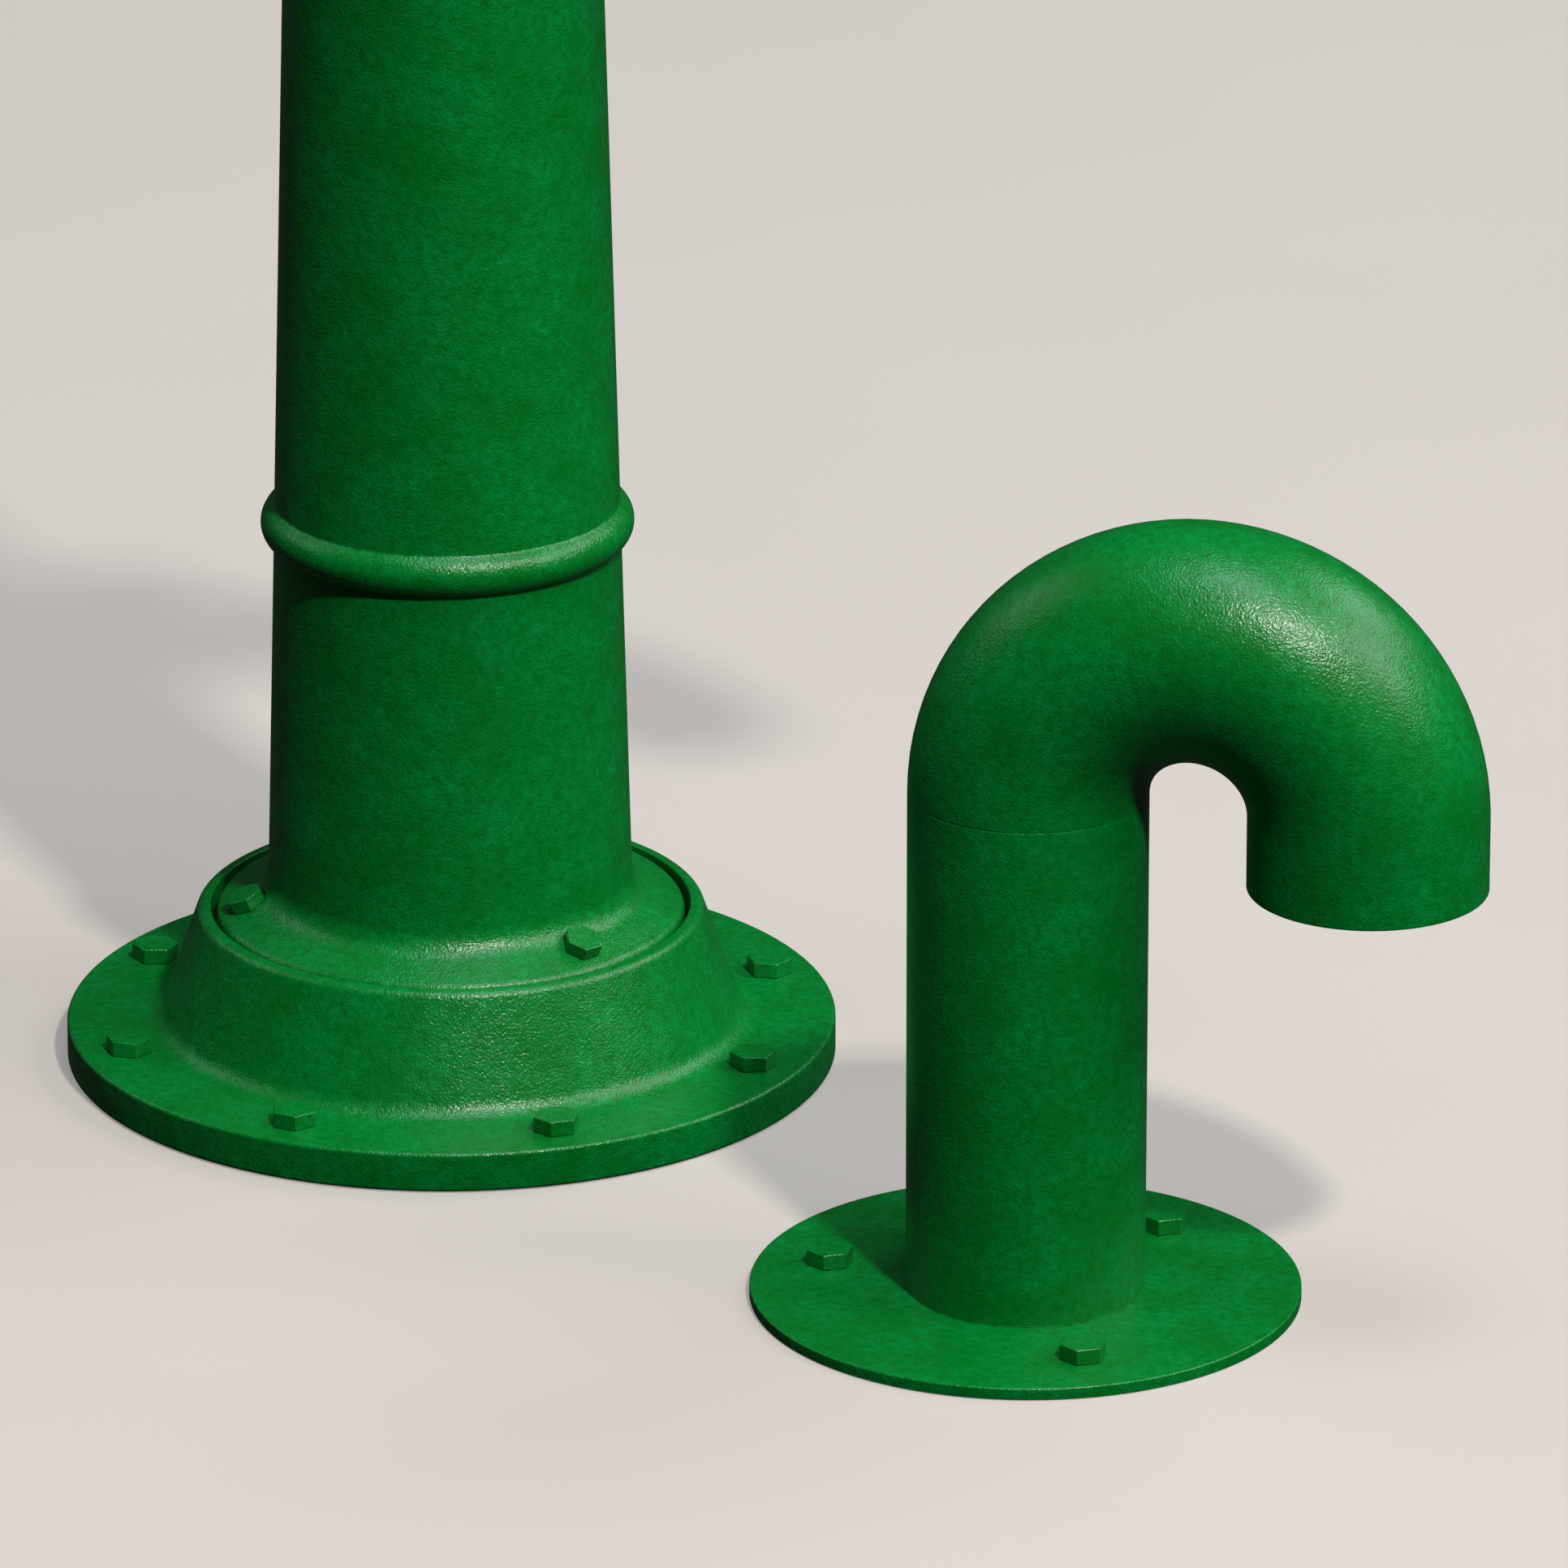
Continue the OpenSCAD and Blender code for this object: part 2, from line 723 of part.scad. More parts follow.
module spout() {
    bead = 5;
    color(green) difference() {
        union() {
            spout_tube(spout_r, 0);
            at_branch() {
                disc(spout_flange_r, spout_face_x, spout_face_x + spout_flange_t);
                translate([0, 0, spout_face_x + spout_flange_t]) rotate_extrude()
                    fillet_outline(spout_r - 1, 0, 6, 1);
            }
            translate([mouth_x, 0, 0]) rotate_extrude() intersection() {
                rim_outline(0, spout_r + bead, mouth_top_z - mouth_len, mouth_top_z - mouth_len + 2 * bead, bead - 1);
                translate([0, mouth_top_z - mouth_len]) square([2 * spout_r, 2 * bead]);
            }
        }
        spout_tube(spout_r - spout_wall, through);
        at_branch() around(4, 45) translate([spout_bolt_circle, 0, 0])
            disc(bolt_hole_r, spout_face_x - through, spout_face_x + spout_flange_t + through);
    }
}

module spout_bolts() {
    grip = 2 * spout_flange_t + gasket_t;
    color(green) at_branch() around(4, 45)
        translate([spout_bolt_circle, 0, spout_face_x + spout_flange_t]) {
            hexagon(bolt_af, 0, bolt_head_h);
            disc(bolt_r, -grip - 13, 0);
        }
}

module spout_nuts() {
    nut_h = 10;
    color(green) at_branch() around(4, 45)
        translate([spout_bolt_circle, 0, branch_x - spout_flange_t - nut_h]) difference() {
            hexagon(bolt_af, 0, nut_h);
            disc(bolt_r, -through, nut_h + through);
        }
}

// Turns a Z-up shape so that it lies along Y through the fulcrum
module at_fulcrum() {
    translate([-fulcrum_x, 0, fulcrum_z]) rotate([90, 0, 0]) children();
}

module fulcrum_pin() {
    half = cheek_gap / 2 + cheek_t;
    color(steel) at_fulcrum() difference() {
        union() {
            disc(fulcrum_r, -half - 12, half);
            disc(fulcrum_r + 6, half, half + 7);
        }
        translate([-2 * fulcrum_r, 0, -split_pin_y]) rotate([0, 90, 0]) cylinder(r = 2, h = 4 * fulcrum_r);
    }
}

module fulcrum_bush() {
    color(brass) at_fulcrum()
        ring(fulcrum_r + 3, fulcrum_r + running_gap, -hub_len / 2, hub_len / 2);
}

module fulcrum_washer() {
    half = cheek_gap / 2 + cheek_t;
    color(steel) at_fulcrum() ring(fulcrum_r + 6, fulcrum_r, -half - 3, -half);
}

module fulcrum_split_pin() {
    color(steel) at_fulcrum() translate([0, 0, -split_pin_y]) rotate([0, 90, 0]) {
        disc(2, -fulcrum_r - 6, fulcrum_r + 3);
        translate([0, 0, fulcrum_r + 6]) rotate([90, 0, 0]) rotate_extrude()
            translate([3.5, 0]) circle(r = 1.5);
    }
}

// Frame of the lever's rod arm: X runs from the fulcrum to the rod's pin
module along_arm() {
    translate([-fulcrum_x, 0, fulcrum_z]) rotate([0, -arm_rest, 0]) children();
}

// Frame of the lever's socket: Z runs from the fulcrum out along the bar
module along_socket() {
    translate([-fulcrum_x, 0, fulcrum_z]) rotate([0, -90 - socket_fall, 0]) children();
}

module lever_head() {
    eye_r = pin_r + slot_gap + 7;
    slot_r = pin_r + slot_gap;
    slot_ends = [slot_near - 1, slot_far + 1];
    color(green) difference() {
        union() {
            at_fulcrum() disc(hub_r, -hub_len / 2, hub_len / 2);
            along_arm() rotate([90, 0, 0]) translate([0, 0, -plate_t / 2]) linear_extrude(plate_t) {
                polygon([[0, -hub_r + 4], [slot_near, -eye_r + 3], [slot_near, eye_r - 3], [0, hub_r - 4]]);
                translate([slot_ends[0], -eye_r]) square([slot_ends[1] - slot_ends[0], 2 * eye_r]);
                for (x = slot_ends) translate([x, 0]) circle(r = eye_r);
            }
            along_socket() disc(socket_r, 0, socket_len);
            along_socket() disc(socket_r + 2.5, socket_len - 12, socket_len);
        }
        at_fulcrum() disc(fulcrum_r + 3, -hub_len, hub_len);
        along_arm() rotate([90, 0, 0]) translate([0, 0, -plate_t]) linear_extrude(2 * plate_t) {
            translate([slot_ends[0], -slot_r]) square([slot_ends[1] - slot_ends[0], 2 * slot_r]);
            for (x = slot_ends) translate([x, 0]) circle(r = slot_r);
        }
        along_socket() disc(bar_r + bar_fit, socket_len - bar_in_socket, socket_len + through);
        for (z = [socket_len - 42, socket_len - 22]) along_socket() translate([0, 2 * socket_r, z])
            rotate([90, 0, 0]) cylinder(r = 4, h = 4 * socket_r);
    }
}

// From the socket's frame to the start of the bar's straight part
module along_handle() {
    translate([-bar_bend_r, 0, socket_len + 10]) rotate([0, socket_fall - handle_fall, 0])
        translate([bar_bend_r, 0, 0]) children();
}

module lever_bar() {
    turn = handle_fall - socket_fall;
    color(green) along_socket() difference() {
        union() {
            disc(bar_r, socket_len - bar_in_socket, socket_len + 10);
            translate([-bar_bend_r, 0, socket_len + 10]) rotate([90, 0, 0])
                rotate_extrude(angle = turn) translate([bar_bend_r, 0]) circle(r = bar_r);
            along_handle() cylinder(r1 = bar_r, r2 = bar_tip_r, h = handle_len);
        }
        for (z = [socket_len - 42, socket_len - 22]) translate([0, 2 * socket_r, z])
            rotate([90, 0, 0]) cylinder(r = 4, h = 4 * socket_r);
    }
}

module lever_rivets() {
    color(green) for (z = [socket_len - 42, socket_len - 22]) along_socket() translate([0, 0, z])
        rotate([90, 0, 0]) {
            disc(4, -socket_r, socket_r);
            for (side = [-1, 1]) translate([0, 0, side * (socket_r + 1)])
                intersection() {
                    sphere(r = 7);
                    translate([-8, -8, side > 0 ? -1 : -8]) cube([16, 16, 9]);
                }
        }
}

module handle_knob() {
    color(green) along_socket() along_handle() translate([0, 0, handle_len]) {
        translate([0, 0, knob_r]) sphere(r = knob_r);
        cylinder(r = bar_tip_r + 3, h = knob_r);
    }
}

// Frame of the vent: its pipe's axis is Z and its bend faces +X
module at_vent(turn = vent_facing) {
    rotate(vent_turn) translate([vent_distance, 0, 0]) rotate(turn - vent_turn) children();
}

module vent_flange() {
    color(green) at_vent(vent_spin) difference() {
        union() {
            rotate_extrude() difference() {
                translate([vent_r - vent_wall, 0]) square([vent_flange_r - vent_r + vent_wall, vent_flange_t]);
                translate([vent_flange_r - 1, vent_flange_t]) rotate(45) square(1.2);
            }
            rotate_extrude() translate([vent_r, vent_flange_t - 1]) circle(r = 5);
        }
        disc(vent_r, -10, 20);
        disc(2 * vent_flange_r, -10, 0);
        around(vent_bolt_n) translate([vent_bolt_circle, 0, 0]) disc(bolt_hole_r, -through, vent_flange_t + through);
    }
}

module vent_pipe() {
    color(green) at_vent() ring(vent_r, vent_r - vent_wall, 0, vent_bend_z);
}

// Solid of the vent's bend for one tube radius
module bend_body(r, past) {
    translate([vent_bend_r, 0, vent_bend_z]) rotate([90, 0, 0]) rotate_extrude(angle = 180)
        translate([vent_bend_r, 0]) circle(r = r);
    translate([2 * vent_bend_r, 0, 0]) disc(r, vent_mouth_z - past, vent_bend_z);
}

module vent_bend() {
    color(green) at_vent() difference() {
        bend_body(vent_r, 0);
        bend_body(vent_r - vent_wall, through);
    }
}

module vent_screen() {
    reach = floor((vent_r - vent_wall - 6) / screen_pitch);
    color(steel) at_vent() translate([2 * vent_bend_r, 0, 0]) difference() {
        disc(vent_r - vent_wall, screen_z, screen_z + screen_t);
        for (i = [-reach : reach]) for (j = [-reach : reach])
            if (norm([i, j]) * screen_pitch < vent_r - vent_wall - 9)
                translate([i * screen_pitch, j * screen_pitch, 0])
                    disc(screen_hole_r, screen_z - through, screen_z + screen_t + through);
    }
}

module vent_screen_ring() {
    color(steel) at_vent() translate([2 * vent_bend_r, 0, 0])
        ring(vent_r - vent_wall, vent_r - vent_wall - 4, screen_z - 4, screen_z);
}

module vent_bolts() {
    color(green) at_vent(vent_spin) around(vent_bolt_n)
        translate([vent_bolt_circle, 0, vent_flange_t]) hex_bolt(vent_flange_t, anchor_reach);
}

base_ring();
base_bolts();
foot_gasket();
column();
foot_bolts();
valve_seat();
foot_valve();
foot_valve_seal();
valve_cage();
cylinder_tube();  // cylinder
piston_body();
cup_lower();
cup_spacer();
cup_upper();
piston_cage();
piston_valve();
piston_valve_seal();
piston_rod();
rod_lock_nut();
rod_fork();
cross_pin();
cross_pin_clips();
bonnet_gasket();
bonnet();
bonnet_bolts();
guide_bush();
gland_packing();
gland_nut();
spout_gasket();
spout();
spout_bolts();
spout_nuts();
fulcrum_pin();
fulcrum_bush();
fulcrum_washer();
fulcrum_split_pin();
lever_head();
lever_bar();
lever_rivets();
handle_knob();
vent_flange();
vent_pipe();
vent_bend();
vent_screen();
vent_screen_ring();
vent_bolts();
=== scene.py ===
import math

import bmesh
import bpy
from mathutils import Matrix, Vector


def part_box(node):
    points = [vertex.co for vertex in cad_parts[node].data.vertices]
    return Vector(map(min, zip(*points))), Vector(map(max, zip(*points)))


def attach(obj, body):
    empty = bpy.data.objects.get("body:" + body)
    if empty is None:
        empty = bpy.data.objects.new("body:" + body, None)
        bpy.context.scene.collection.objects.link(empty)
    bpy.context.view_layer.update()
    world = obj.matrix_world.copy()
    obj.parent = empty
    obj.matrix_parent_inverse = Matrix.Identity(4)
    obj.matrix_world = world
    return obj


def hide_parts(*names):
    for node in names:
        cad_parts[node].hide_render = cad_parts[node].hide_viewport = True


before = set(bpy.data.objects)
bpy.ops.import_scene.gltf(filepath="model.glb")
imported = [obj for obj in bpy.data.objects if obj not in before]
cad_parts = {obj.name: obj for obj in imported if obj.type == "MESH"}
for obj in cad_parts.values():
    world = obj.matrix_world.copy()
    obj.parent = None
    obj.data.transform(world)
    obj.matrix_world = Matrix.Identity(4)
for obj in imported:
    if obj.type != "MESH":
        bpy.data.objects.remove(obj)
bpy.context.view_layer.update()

MM = 0.001


# ------------------------------------------------------------------------------------------ base ring
# The base ring is one sand casting of grey iron: a round flange, a leaning drum, a rounded rim, and a shelf
# inside that carries the column. Every edge was left soft by the mould, and green enamel was brushed over it.

def rounded(corners, arc_step=9):
    """Points of an outline whose corners are (radius, height, rounding), in millimetres."""
    points = []
    for i, (radius, height, rounding) in enumerate(corners):
        here = Vector((radius, height))
        if rounding == 0:
            points.append(here)
            continue
        before = (Vector(corners[i - 1][:2]) - here).normalized()
        after = (Vector(corners[(i + 1) % len(corners)][:2]) - here).normalized()
        half = before.angle(after) / 2
        centre = here + (before + after).normalized() * (rounding / math.sin(half))
        reach = rounding / math.tan(half)
        first = here + before * reach - centre
        last = here + after * reach - centre
        begin = math.atan2(first.y, first.x)
        turn = (math.atan2(last.y, last.x) - begin + math.pi) % (2 * math.pi) - math.pi
        steps = max(2, math.ceil(abs(turn) / math.radians(arc_step)))
        for k in range(steps + 1):
            angle = begin + turn * k / steps
            points.append(centre + rounding * Vector((math.cos(angle), math.sin(angle))))
    return points


def add(tree, kind, values=None, links=None, **settings):
    """Adds one node: its settings, the values of its open inputs, and what its other inputs are linked to."""
    made = tree.nodes.new(kind)
    for name, value in settings.items():
        setattr(made, name, value)
    for name, value in (values or {}).items():
        made.inputs[name].default_value = value
    for name, source in (links or {}).items():
        tree.links.new(source, made.inputs[name])
    return made


def new_tree(name, inputs):
    """A node tree for meshes with named inputs. Gives the tree and what its inputs hold."""
    tree = bpy.data.node_groups.new(name, "GeometryNodeTree")
    for label, kind in inputs:
        tree.interface.new_socket(label, in_out="INPUT", socket_type=kind)
    tree.interface.new_socket("Mesh", in_out="OUTPUT", socket_type="NodeSocketGeometry")
    return tree, tree.nodes.new("NodeGroupInput").outputs


def arithmetic(tree, operation, *inputs):
    """Adds one node of arithmetic on numbers or on other nodes' outputs, and gives its output."""
    made = tree.nodes.new("ShaderNodeMath")
    made.operation = operation
    for i, source in enumerate(inputs):
        if isinstance(source, (int, float)):
            made.inputs[i].default_value = source
        else:
            tree.links.new(source, made.inputs[i])
    return made.outputs[0]


def coordinates(tree):
    """Each point's place, as outputs named X, Y and Z."""
    place = add(tree, "GeometryNodeInputPosition").outputs[0]
    return add(tree, "ShaderNodeSeparateXYZ", links={0: place}).outputs


# An outline is turned round the Z axis, bent towards +X above a height, and put in its place. The flat
# outline has X for its radius less the guide circle's, and -Y for its height.
GUIDE = 50 * MM
turning, given = new_tree("turn_and_bend", [
    ("Outline", "NodeSocketGeometry"), ("Steps", "NodeSocketInt"), ("Bend Start", "NodeSocketFloat"),
    ("Bend Radius", "NodeSocketFloat"), ("Bend Angle", "NodeSocketFloat"), ("Place", "NodeSocketVector"),
    ("Turn", "NodeSocketRotation"), ("Finish", "NodeSocketMaterial"),
])
outline_curve = add(turning, "GeometryNodeMeshToCurve", links={"Mesh": given["Outline"]})
circle = add(turning, "GeometryNodeCurvePrimitiveCircle", {"Radius": GUIDE}, {"Resolution": given["Steps"]})
turned = add(turning, "GeometryNodeCurveToMesh",
             links={"Curve": circle.outputs[0], "Profile Curve": outline_curve.outputs[0]})
closed = add(turning, "GeometryNodeMergeByDistance", {"Distance": 0.002 * MM},
             {"Geometry": turned.outputs[0]})
spot = coordinates(turning)
above = arithmetic(turning, "SUBTRACT", spot["Z"], given["Bend Start"])
share = arithmetic(turning, "DIVIDE", above, given["Bend Radius"])
clamped = add(turning, "ShaderNodeClamp", {"Min": 0.0}, {"Value": share, "Max": given["Bend Angle"]})
angle = clamped.outputs[0]
arc = arithmetic(turning, "MULTIPLY", angle, given["Bend Radius"])
past = arithmetic(turning, "SUBTRACT", above, arc)
side = arithmetic(turning, "SUBTRACT", spot["X"], given["Bend Radius"])
sine = arithmetic(turning, "SINE", angle)
cosine = arithmetic(turning, "COSINE", angle)
side_cos = arithmetic(turning, "MULTIPLY", side, cosine)
side_sin = arithmetic(turning, "MULTIPLY", side, sine)
past_cos = arithmetic(turning, "MULTIPLY", past, cosine)
past_sin = arithmetic(turning, "MULTIPLY", past, sine)
across = arithmetic(turning, "ADD", side_cos, past_sin)
along = arithmetic(turning, "SUBTRACT", past_cos, side_sin)
bent_x = arithmetic(turning, "ADD", across, given["Bend Radius"])
bent_z = arithmetic(turning, "ADD", along, given["Bend Start"])
bent_spot = add(turning, "ShaderNodeCombineXYZ", links={"X": bent_x, "Y": spot["Y"], "Z": bent_z})
bent = add(turning, "GeometryNodeSetPosition",
           links={"Geometry": closed.outputs[0], "Position": bent_spot.outputs[0]})
placed = add(turning, "GeometryNodeTransform",
             links={"Geometry": bent.outputs[0], "Translation": given["Place"], "Rotation": given["Turn"]})
whole = add(turning, "GeometryNodeRealizeInstances", links={"Geometry": placed.outputs[0]})
painted = add(turning, "GeometryNodeSetMaterial",
              links={"Geometry": whole.outputs[0], "Material": given["Finish"]})
add(turning, "NodeGroupOutput", links={0: painted.outputs[0]})


def baked(name, mesh, tree, sizes):
    """Runs a node tree on a mesh with these named inputs, and gives the plain mesh object that it makes."""
    piece = bpy.data.objects.new(name, mesh)
    bpy.context.scene.collection.objects.link(piece)
    maker = piece.modifiers.new(tree.name, "NODES")
    maker.node_group = tree
    for socket in tree.interface.items_tree:
        if socket.name in sizes:
            maker[socket.identifier] = sizes[socket.name]
    finished(piece)
    piece.modifiers.clear()
    return piece


def finished(piece):
    """Makes what a piece's modifiers give its own mesh."""
    bpy.context.view_layer.update()
    graph = bpy.context.evaluated_depsgraph_get()
    piece.data = bpy.data.meshes.new_from_object(piece.evaluated_get(graph))
    piece.data.name = piece.name


def smoothed(piece, crease=32):
    """Points a piece's faces outwards and shades it smooth, except across edges sharper than the crease."""
    shape = bmesh.new()
    shape.from_mesh(piece.data)
    bmesh.ops.recalc_face_normals(shape, faces=shape.faces)
    shape.to_mesh(piece.data)
    shape.free()
    piece.data.shade_smooth()
    piece.data.set_sharp_from_angle(angle=math.radians(crease))
    return piece


# A bend is where it starts along the axis, its radius and its angle. An angle of 0 leaves the piece straight.
STRAIGHT = (0, 1000, 0)


def turned_piece(name, outline, finish, steps=128, bend=STRAIGHT, place=(0, 0, 0), turn=(0, 0, 0)):
    """Turns a closed outline round the Z axis. Lengths are in millimetres and angles in degrees."""
    flat = bpy.data.meshes.new(name)
    spots = [(radius * MM - GUIDE, -height * MM, 0) for radius, height in outline]
    flat.from_pydata(spots, [(i, (i + 1) % len(spots)) for i in range(len(spots))], [])
    piece = baked(name, flat, turning, {
        "Steps": steps, "Bend Start": bend[0] * MM, "Bend Radius": bend[1] * MM,
        "Bend Angle": math.radians(bend[2]), "Place": place,
        "Turn": [math.radians(a) for a in turn], "Finish": finish,
    })
    return smoothed(piece)


def colour(code):
    """A linear colour from an sRGB hex value."""
    shares = [int(code[i:i + 2], 16) / 255 for i in (1, 3, 5)]
    return [s / 12.92 if s <= 0.04045 else ((s + 0.055) / 1.055) ** 2.4 for s in shares] + [1.0]


def new_finish(name):
    """Gives a new material, its empty tree, and the place on the object that the tree starts from."""
    made = bpy.data.materials.new(name)
    made.use_nodes = True
    made.node_tree.nodes.clear()
    return made, made.node_tree, add(made.node_tree, "ShaderNodeTexCoord").outputs["Object"]


def noise(tree, where, grain_mm, detail, roughness=0.5):
    """Noise from 0 to 1 whose largest grains are this wide."""
    values = {"Scale": 1 / (grain_mm * MM), "Detail": detail, "Roughness": roughness}
    return add(tree, "ShaderNodeTexNoise", values, {"Vector": where}).outputs[0]


def spread(tree, source, low, high, first=0.0, last=1.0):
    """Stretches what lies from first to last so that it runs from low to high."""
    values = {"From Min": first, "From Max": last, "To Min": low, "To Max": high}
    return add(tree, "ShaderNodeMapRange", values, {"Value": source}).outputs[0]


def blended(tree, share, first, last):
    """Blends a hex colour towards another one, or towards a colour that the tree gives."""
    made = add(tree, "ShaderNodeMix", {6: colour(first)}, {0: share}, data_type="RGBA")
    if isinstance(last, str):
        made.inputs[7].default_value = colour(last)
    else:
        tree.links.new(last, made.inputs[7])
    return made.outputs[2]


def bumped(tree, height, depth_mm, strength=1.0, under=None):
    """A skin with bumps of this depth, laid over another skin if one is given."""
    links = {"Height": height}
    if under is not None:
        links["Normal"] = under
    return add(tree, "ShaderNodeBump", {"Strength": strength, "Distance": depth_mm * MM}, links).outputs[0]


def shaded(tree, base, roughness, skin, values):
    """Ends a finish's tree with its surface."""
    shader = add(tree, "ShaderNodeBsdfPrincipled", values,
                 {"Base Color": base, "Roughness": roughness, "Normal": skin})
    add(tree, "ShaderNodeOutputMaterial", links={"Surface": shader.outputs[0]})


def enamel(name, sand_mm, sand_depth_mm, wave_depth_mm):
    """Green alkyd enamel, brushed on: a saturated green film that pools darker, over the metal's own skin."""
    paint, tree, where = new_finish(name)
    # Clouds 30 mm wide where the film is thicker, and 4 mm mottles where it thins over the skin's peaks
    clouds = noise(tree, where, 30, 4.0, 0.55)
    mottles = noise(tree, where, 4, 5.0, 0.75)
    film = blended(tree, spread(tree, clouds, 0.0, 1.0, 0.38, 0.68), "#00823b", "#006f27")
    pooled = blended(tree, spread(tree, mottles, 0.0, 1.0, 0.30, 0.70), "#005f14", film)
    gloss = spread(tree, mottles, 0.24, 0.34)
    # The skin under the film: the slow waves of brushed paint, with moulding sand's grain over them
    slow = bumped(tree, noise(tree, where, 14, 2.0), wave_depth_mm)
    skin = bumped(tree, noise(tree, where, sand_mm, 1.0), sand_depth_mm, under=slow)
    shaded(tree, pooled, gloss, skin, {"IOR": 1.5, "Specular IOR Level": 0.38})
    return paint


# The sand's grain is 1.2 mm across as the film rounds it, and breaks every highlight into specks
enamel_on_casting = enamel("green_enamel_on_sand_cast_iron", 1.2, 0.36, 0.6)

# Radii and heights of the ring's section
flange_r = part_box("base_ring")[1].x / MM
rim_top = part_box("base_ring")[1].z / MM
flange_top = 19
drum_foot_r = 137
rim_r = 117.6
rim_bore_r = 112
shelf_top = 56
shelf_low = 42
shelf_bore_r = 33
ring_casting = turned_piece("ring_casting", rounded([
    (125, 0, 1), (flange_r, 0, 2), (flange_r, flange_top, 2), (drum_foot_r, flange_top, 12),
    (rim_r, rim_top, 4.8), (rim_bore_r, rim_top, 0.7), (rim_bore_r, shelf_top, 1.5),
    (shelf_bore_r, shelf_top, 1), (shelf_bore_r, shelf_low, 1), (106, shelf_low, 6),
]), enamel_on_casting, steps=192)
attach(ring_casting, "root")
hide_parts("base_ring")


# ------------------------------------------------------------------------------------------ anchor bolts
# Eight M12 hexagon bolts of zinc-plated steel hold the base flange to the well's cover. Their heads were
# painted over with the ring; their threaded ends below the flange are bare plating.

def hexagon_bolt(name, across, high, plain, threaded, thread_r=6.0, pitch=1.75):
    """One bolt with its head above z = 0: flats joined by soft corners, a light chamfer and a washer face."""
    corner_r = 0.7
    half_corner = math.radians(30)
    corner = (across / 2 - corner_r) / math.cos(half_corner)

    def on_corner(middle, lean):
        return (corner * math.cos(middle) + corner_r * math.cos(lean),
                corner * math.sin(middle) + corner_r * math.sin(lean))

    edge = []
    for k in range(6):
        middle = math.radians(60 * k + 30)
        following = middle + math.radians(60)
        edge += [on_corner(middle, middle + half_corner * step / 2) for step in range(-2, 3)]
        x0, y0 = on_corner(middle, middle + half_corner)
        x1, y1 = on_corner(following, following - half_corner)
        edge += [(x0 + (x1 - x0) * part, y0 + (y1 - y0) * part) for part in (0.2, 0.4, 0.6, 0.8)]
    shape = bmesh.new()

    # The chamfer cuts the corners down outside this radius
    chamfer_r = across * 0.545
    chamfer_fall = math.tan(math.radians(24))

    def hexagon_ring(inset, fall, level=None):
        ring = []
        for x, y in edge:
            reach = math.hypot(x, y)
            cut = max(0.0, reach - chamfer_r) * chamfer_fall
            height = high - cut - fall if level is None else level
            ring.append(shape.verts.new(((reach - inset) * x / reach, (reach - inset) * y / reach, height)))
        return ring

    def round_ring(radius, height):
        return [shape.verts.new((radius * x / math.hypot(x, y), radius * y / math.hypot(x, y), height))
                for x, y in edge]

    washer_r = across * 0.49
    washer_t = 0.2
    rings = [round_ring(across * 0.27, high), round_ring(across * 0.47, high - 0.03),
             hexagon_ring(0.6, 0.0), hexagon_ring(0.2, 0.15),
             hexagon_ring(0.0, 0.4), hexagon_ring(0.0, 0.0, 0.5), hexagon_ring(0.3, 0.0, washer_t),
             round_ring(washer_r, washer_t), round_ring(washer_r, 0.0)]
    if plain + threaded:
        shank_r = thread_r + 0.2
        rings += [round_ring(shank_r, 0.0), round_ring(shank_r, -plain)]

    # The thread is one helix of six rings a turn, which runs out over its last turn
    ring_count = 6
    thread_start = 0.4
    thread_depth = 1.05
    turns = int(threaded / pitch)
    for k in range(turns * ring_count):
        depth = -plain - thread_start - k * pitch / ring_count
        run_out = min(1.0, (turns * ring_count - k) / ring_count)
        ring = []
        for x, y in edge:
            phase = (math.atan2(y, x) / (2 * math.pi) + k / ring_count) % 1
            radius = thread_r - thread_depth * abs(2 * phase - 1) - 0.5 * (1 - run_out)
            reach = math.hypot(x, y)
            ring.append(shape.verts.new((radius * x / reach, radius * y / reach, depth)))
        rings.append(ring)
    if threaded:
        rings.append(round_ring(thread_r - 1.3, -plain - threaded))
    for upper, lower in zip(rings, rings[1:]):
        for i in range(len(edge)):
            j = (i + 1) % len(edge)
            shape.faces.new((upper[i], lower[i], lower[j], upper[j]))
    shape.faces.new(rings[0])
    shape.faces.new(list(reversed(rings[-1])))
    bmesh.ops.scale(shape, vec=(MM, MM, MM), verts=shape.verts)
    mesh = bpy.data.meshes.new(name)
    shape.to_mesh(mesh)
    shape.free()
    return mesh


# One bolt is set on every point of a circle, tilted outwards, and the circle is put in its place
circling, given = new_tree("bolt_circle", [
    ("Bolt", "NodeSocketGeometry"), ("Count", "NodeSocketInt"), ("Circle", "NodeSocketFloat"),
    ("First", "NodeSocketRotation"), ("Tilt", "NodeSocketRotation"), ("Place", "NodeSocketVector"),
    ("Turn", "NodeSocketRotation"), ("Bare Below", "NodeSocketFloat"), ("Finish", "NodeSocketMaterial"),
    ("Bare", "NodeSocketMaterial"),
])
points = add(circling, "GeometryNodeMeshCircle",
             links={"Vertices": given["Count"], "Radius": given["Circle"]})
started = add(circling, "GeometryNodeTransform",
              links={"Geometry": points.outputs[0], "Rotation": given["First"]})
from_middle = add(circling, "GeometryNodeInputPosition").outputs[0]
outward = add(circling, "FunctionNodeAlignRotationToVector", links={"Vector": from_middle}, axis="X",
              pivot_axis="Z")
bolted = add(circling, "GeometryNodeInstanceOnPoints",
             links={"Points": started.outputs[0], "Instance": given["Bolt"], "Rotation": outward.outputs[0]})
tilted = add(circling, "GeometryNodeRotateInstances",
             links={"Instances": bolted.outputs[0], "Rotation": given["Tilt"]})
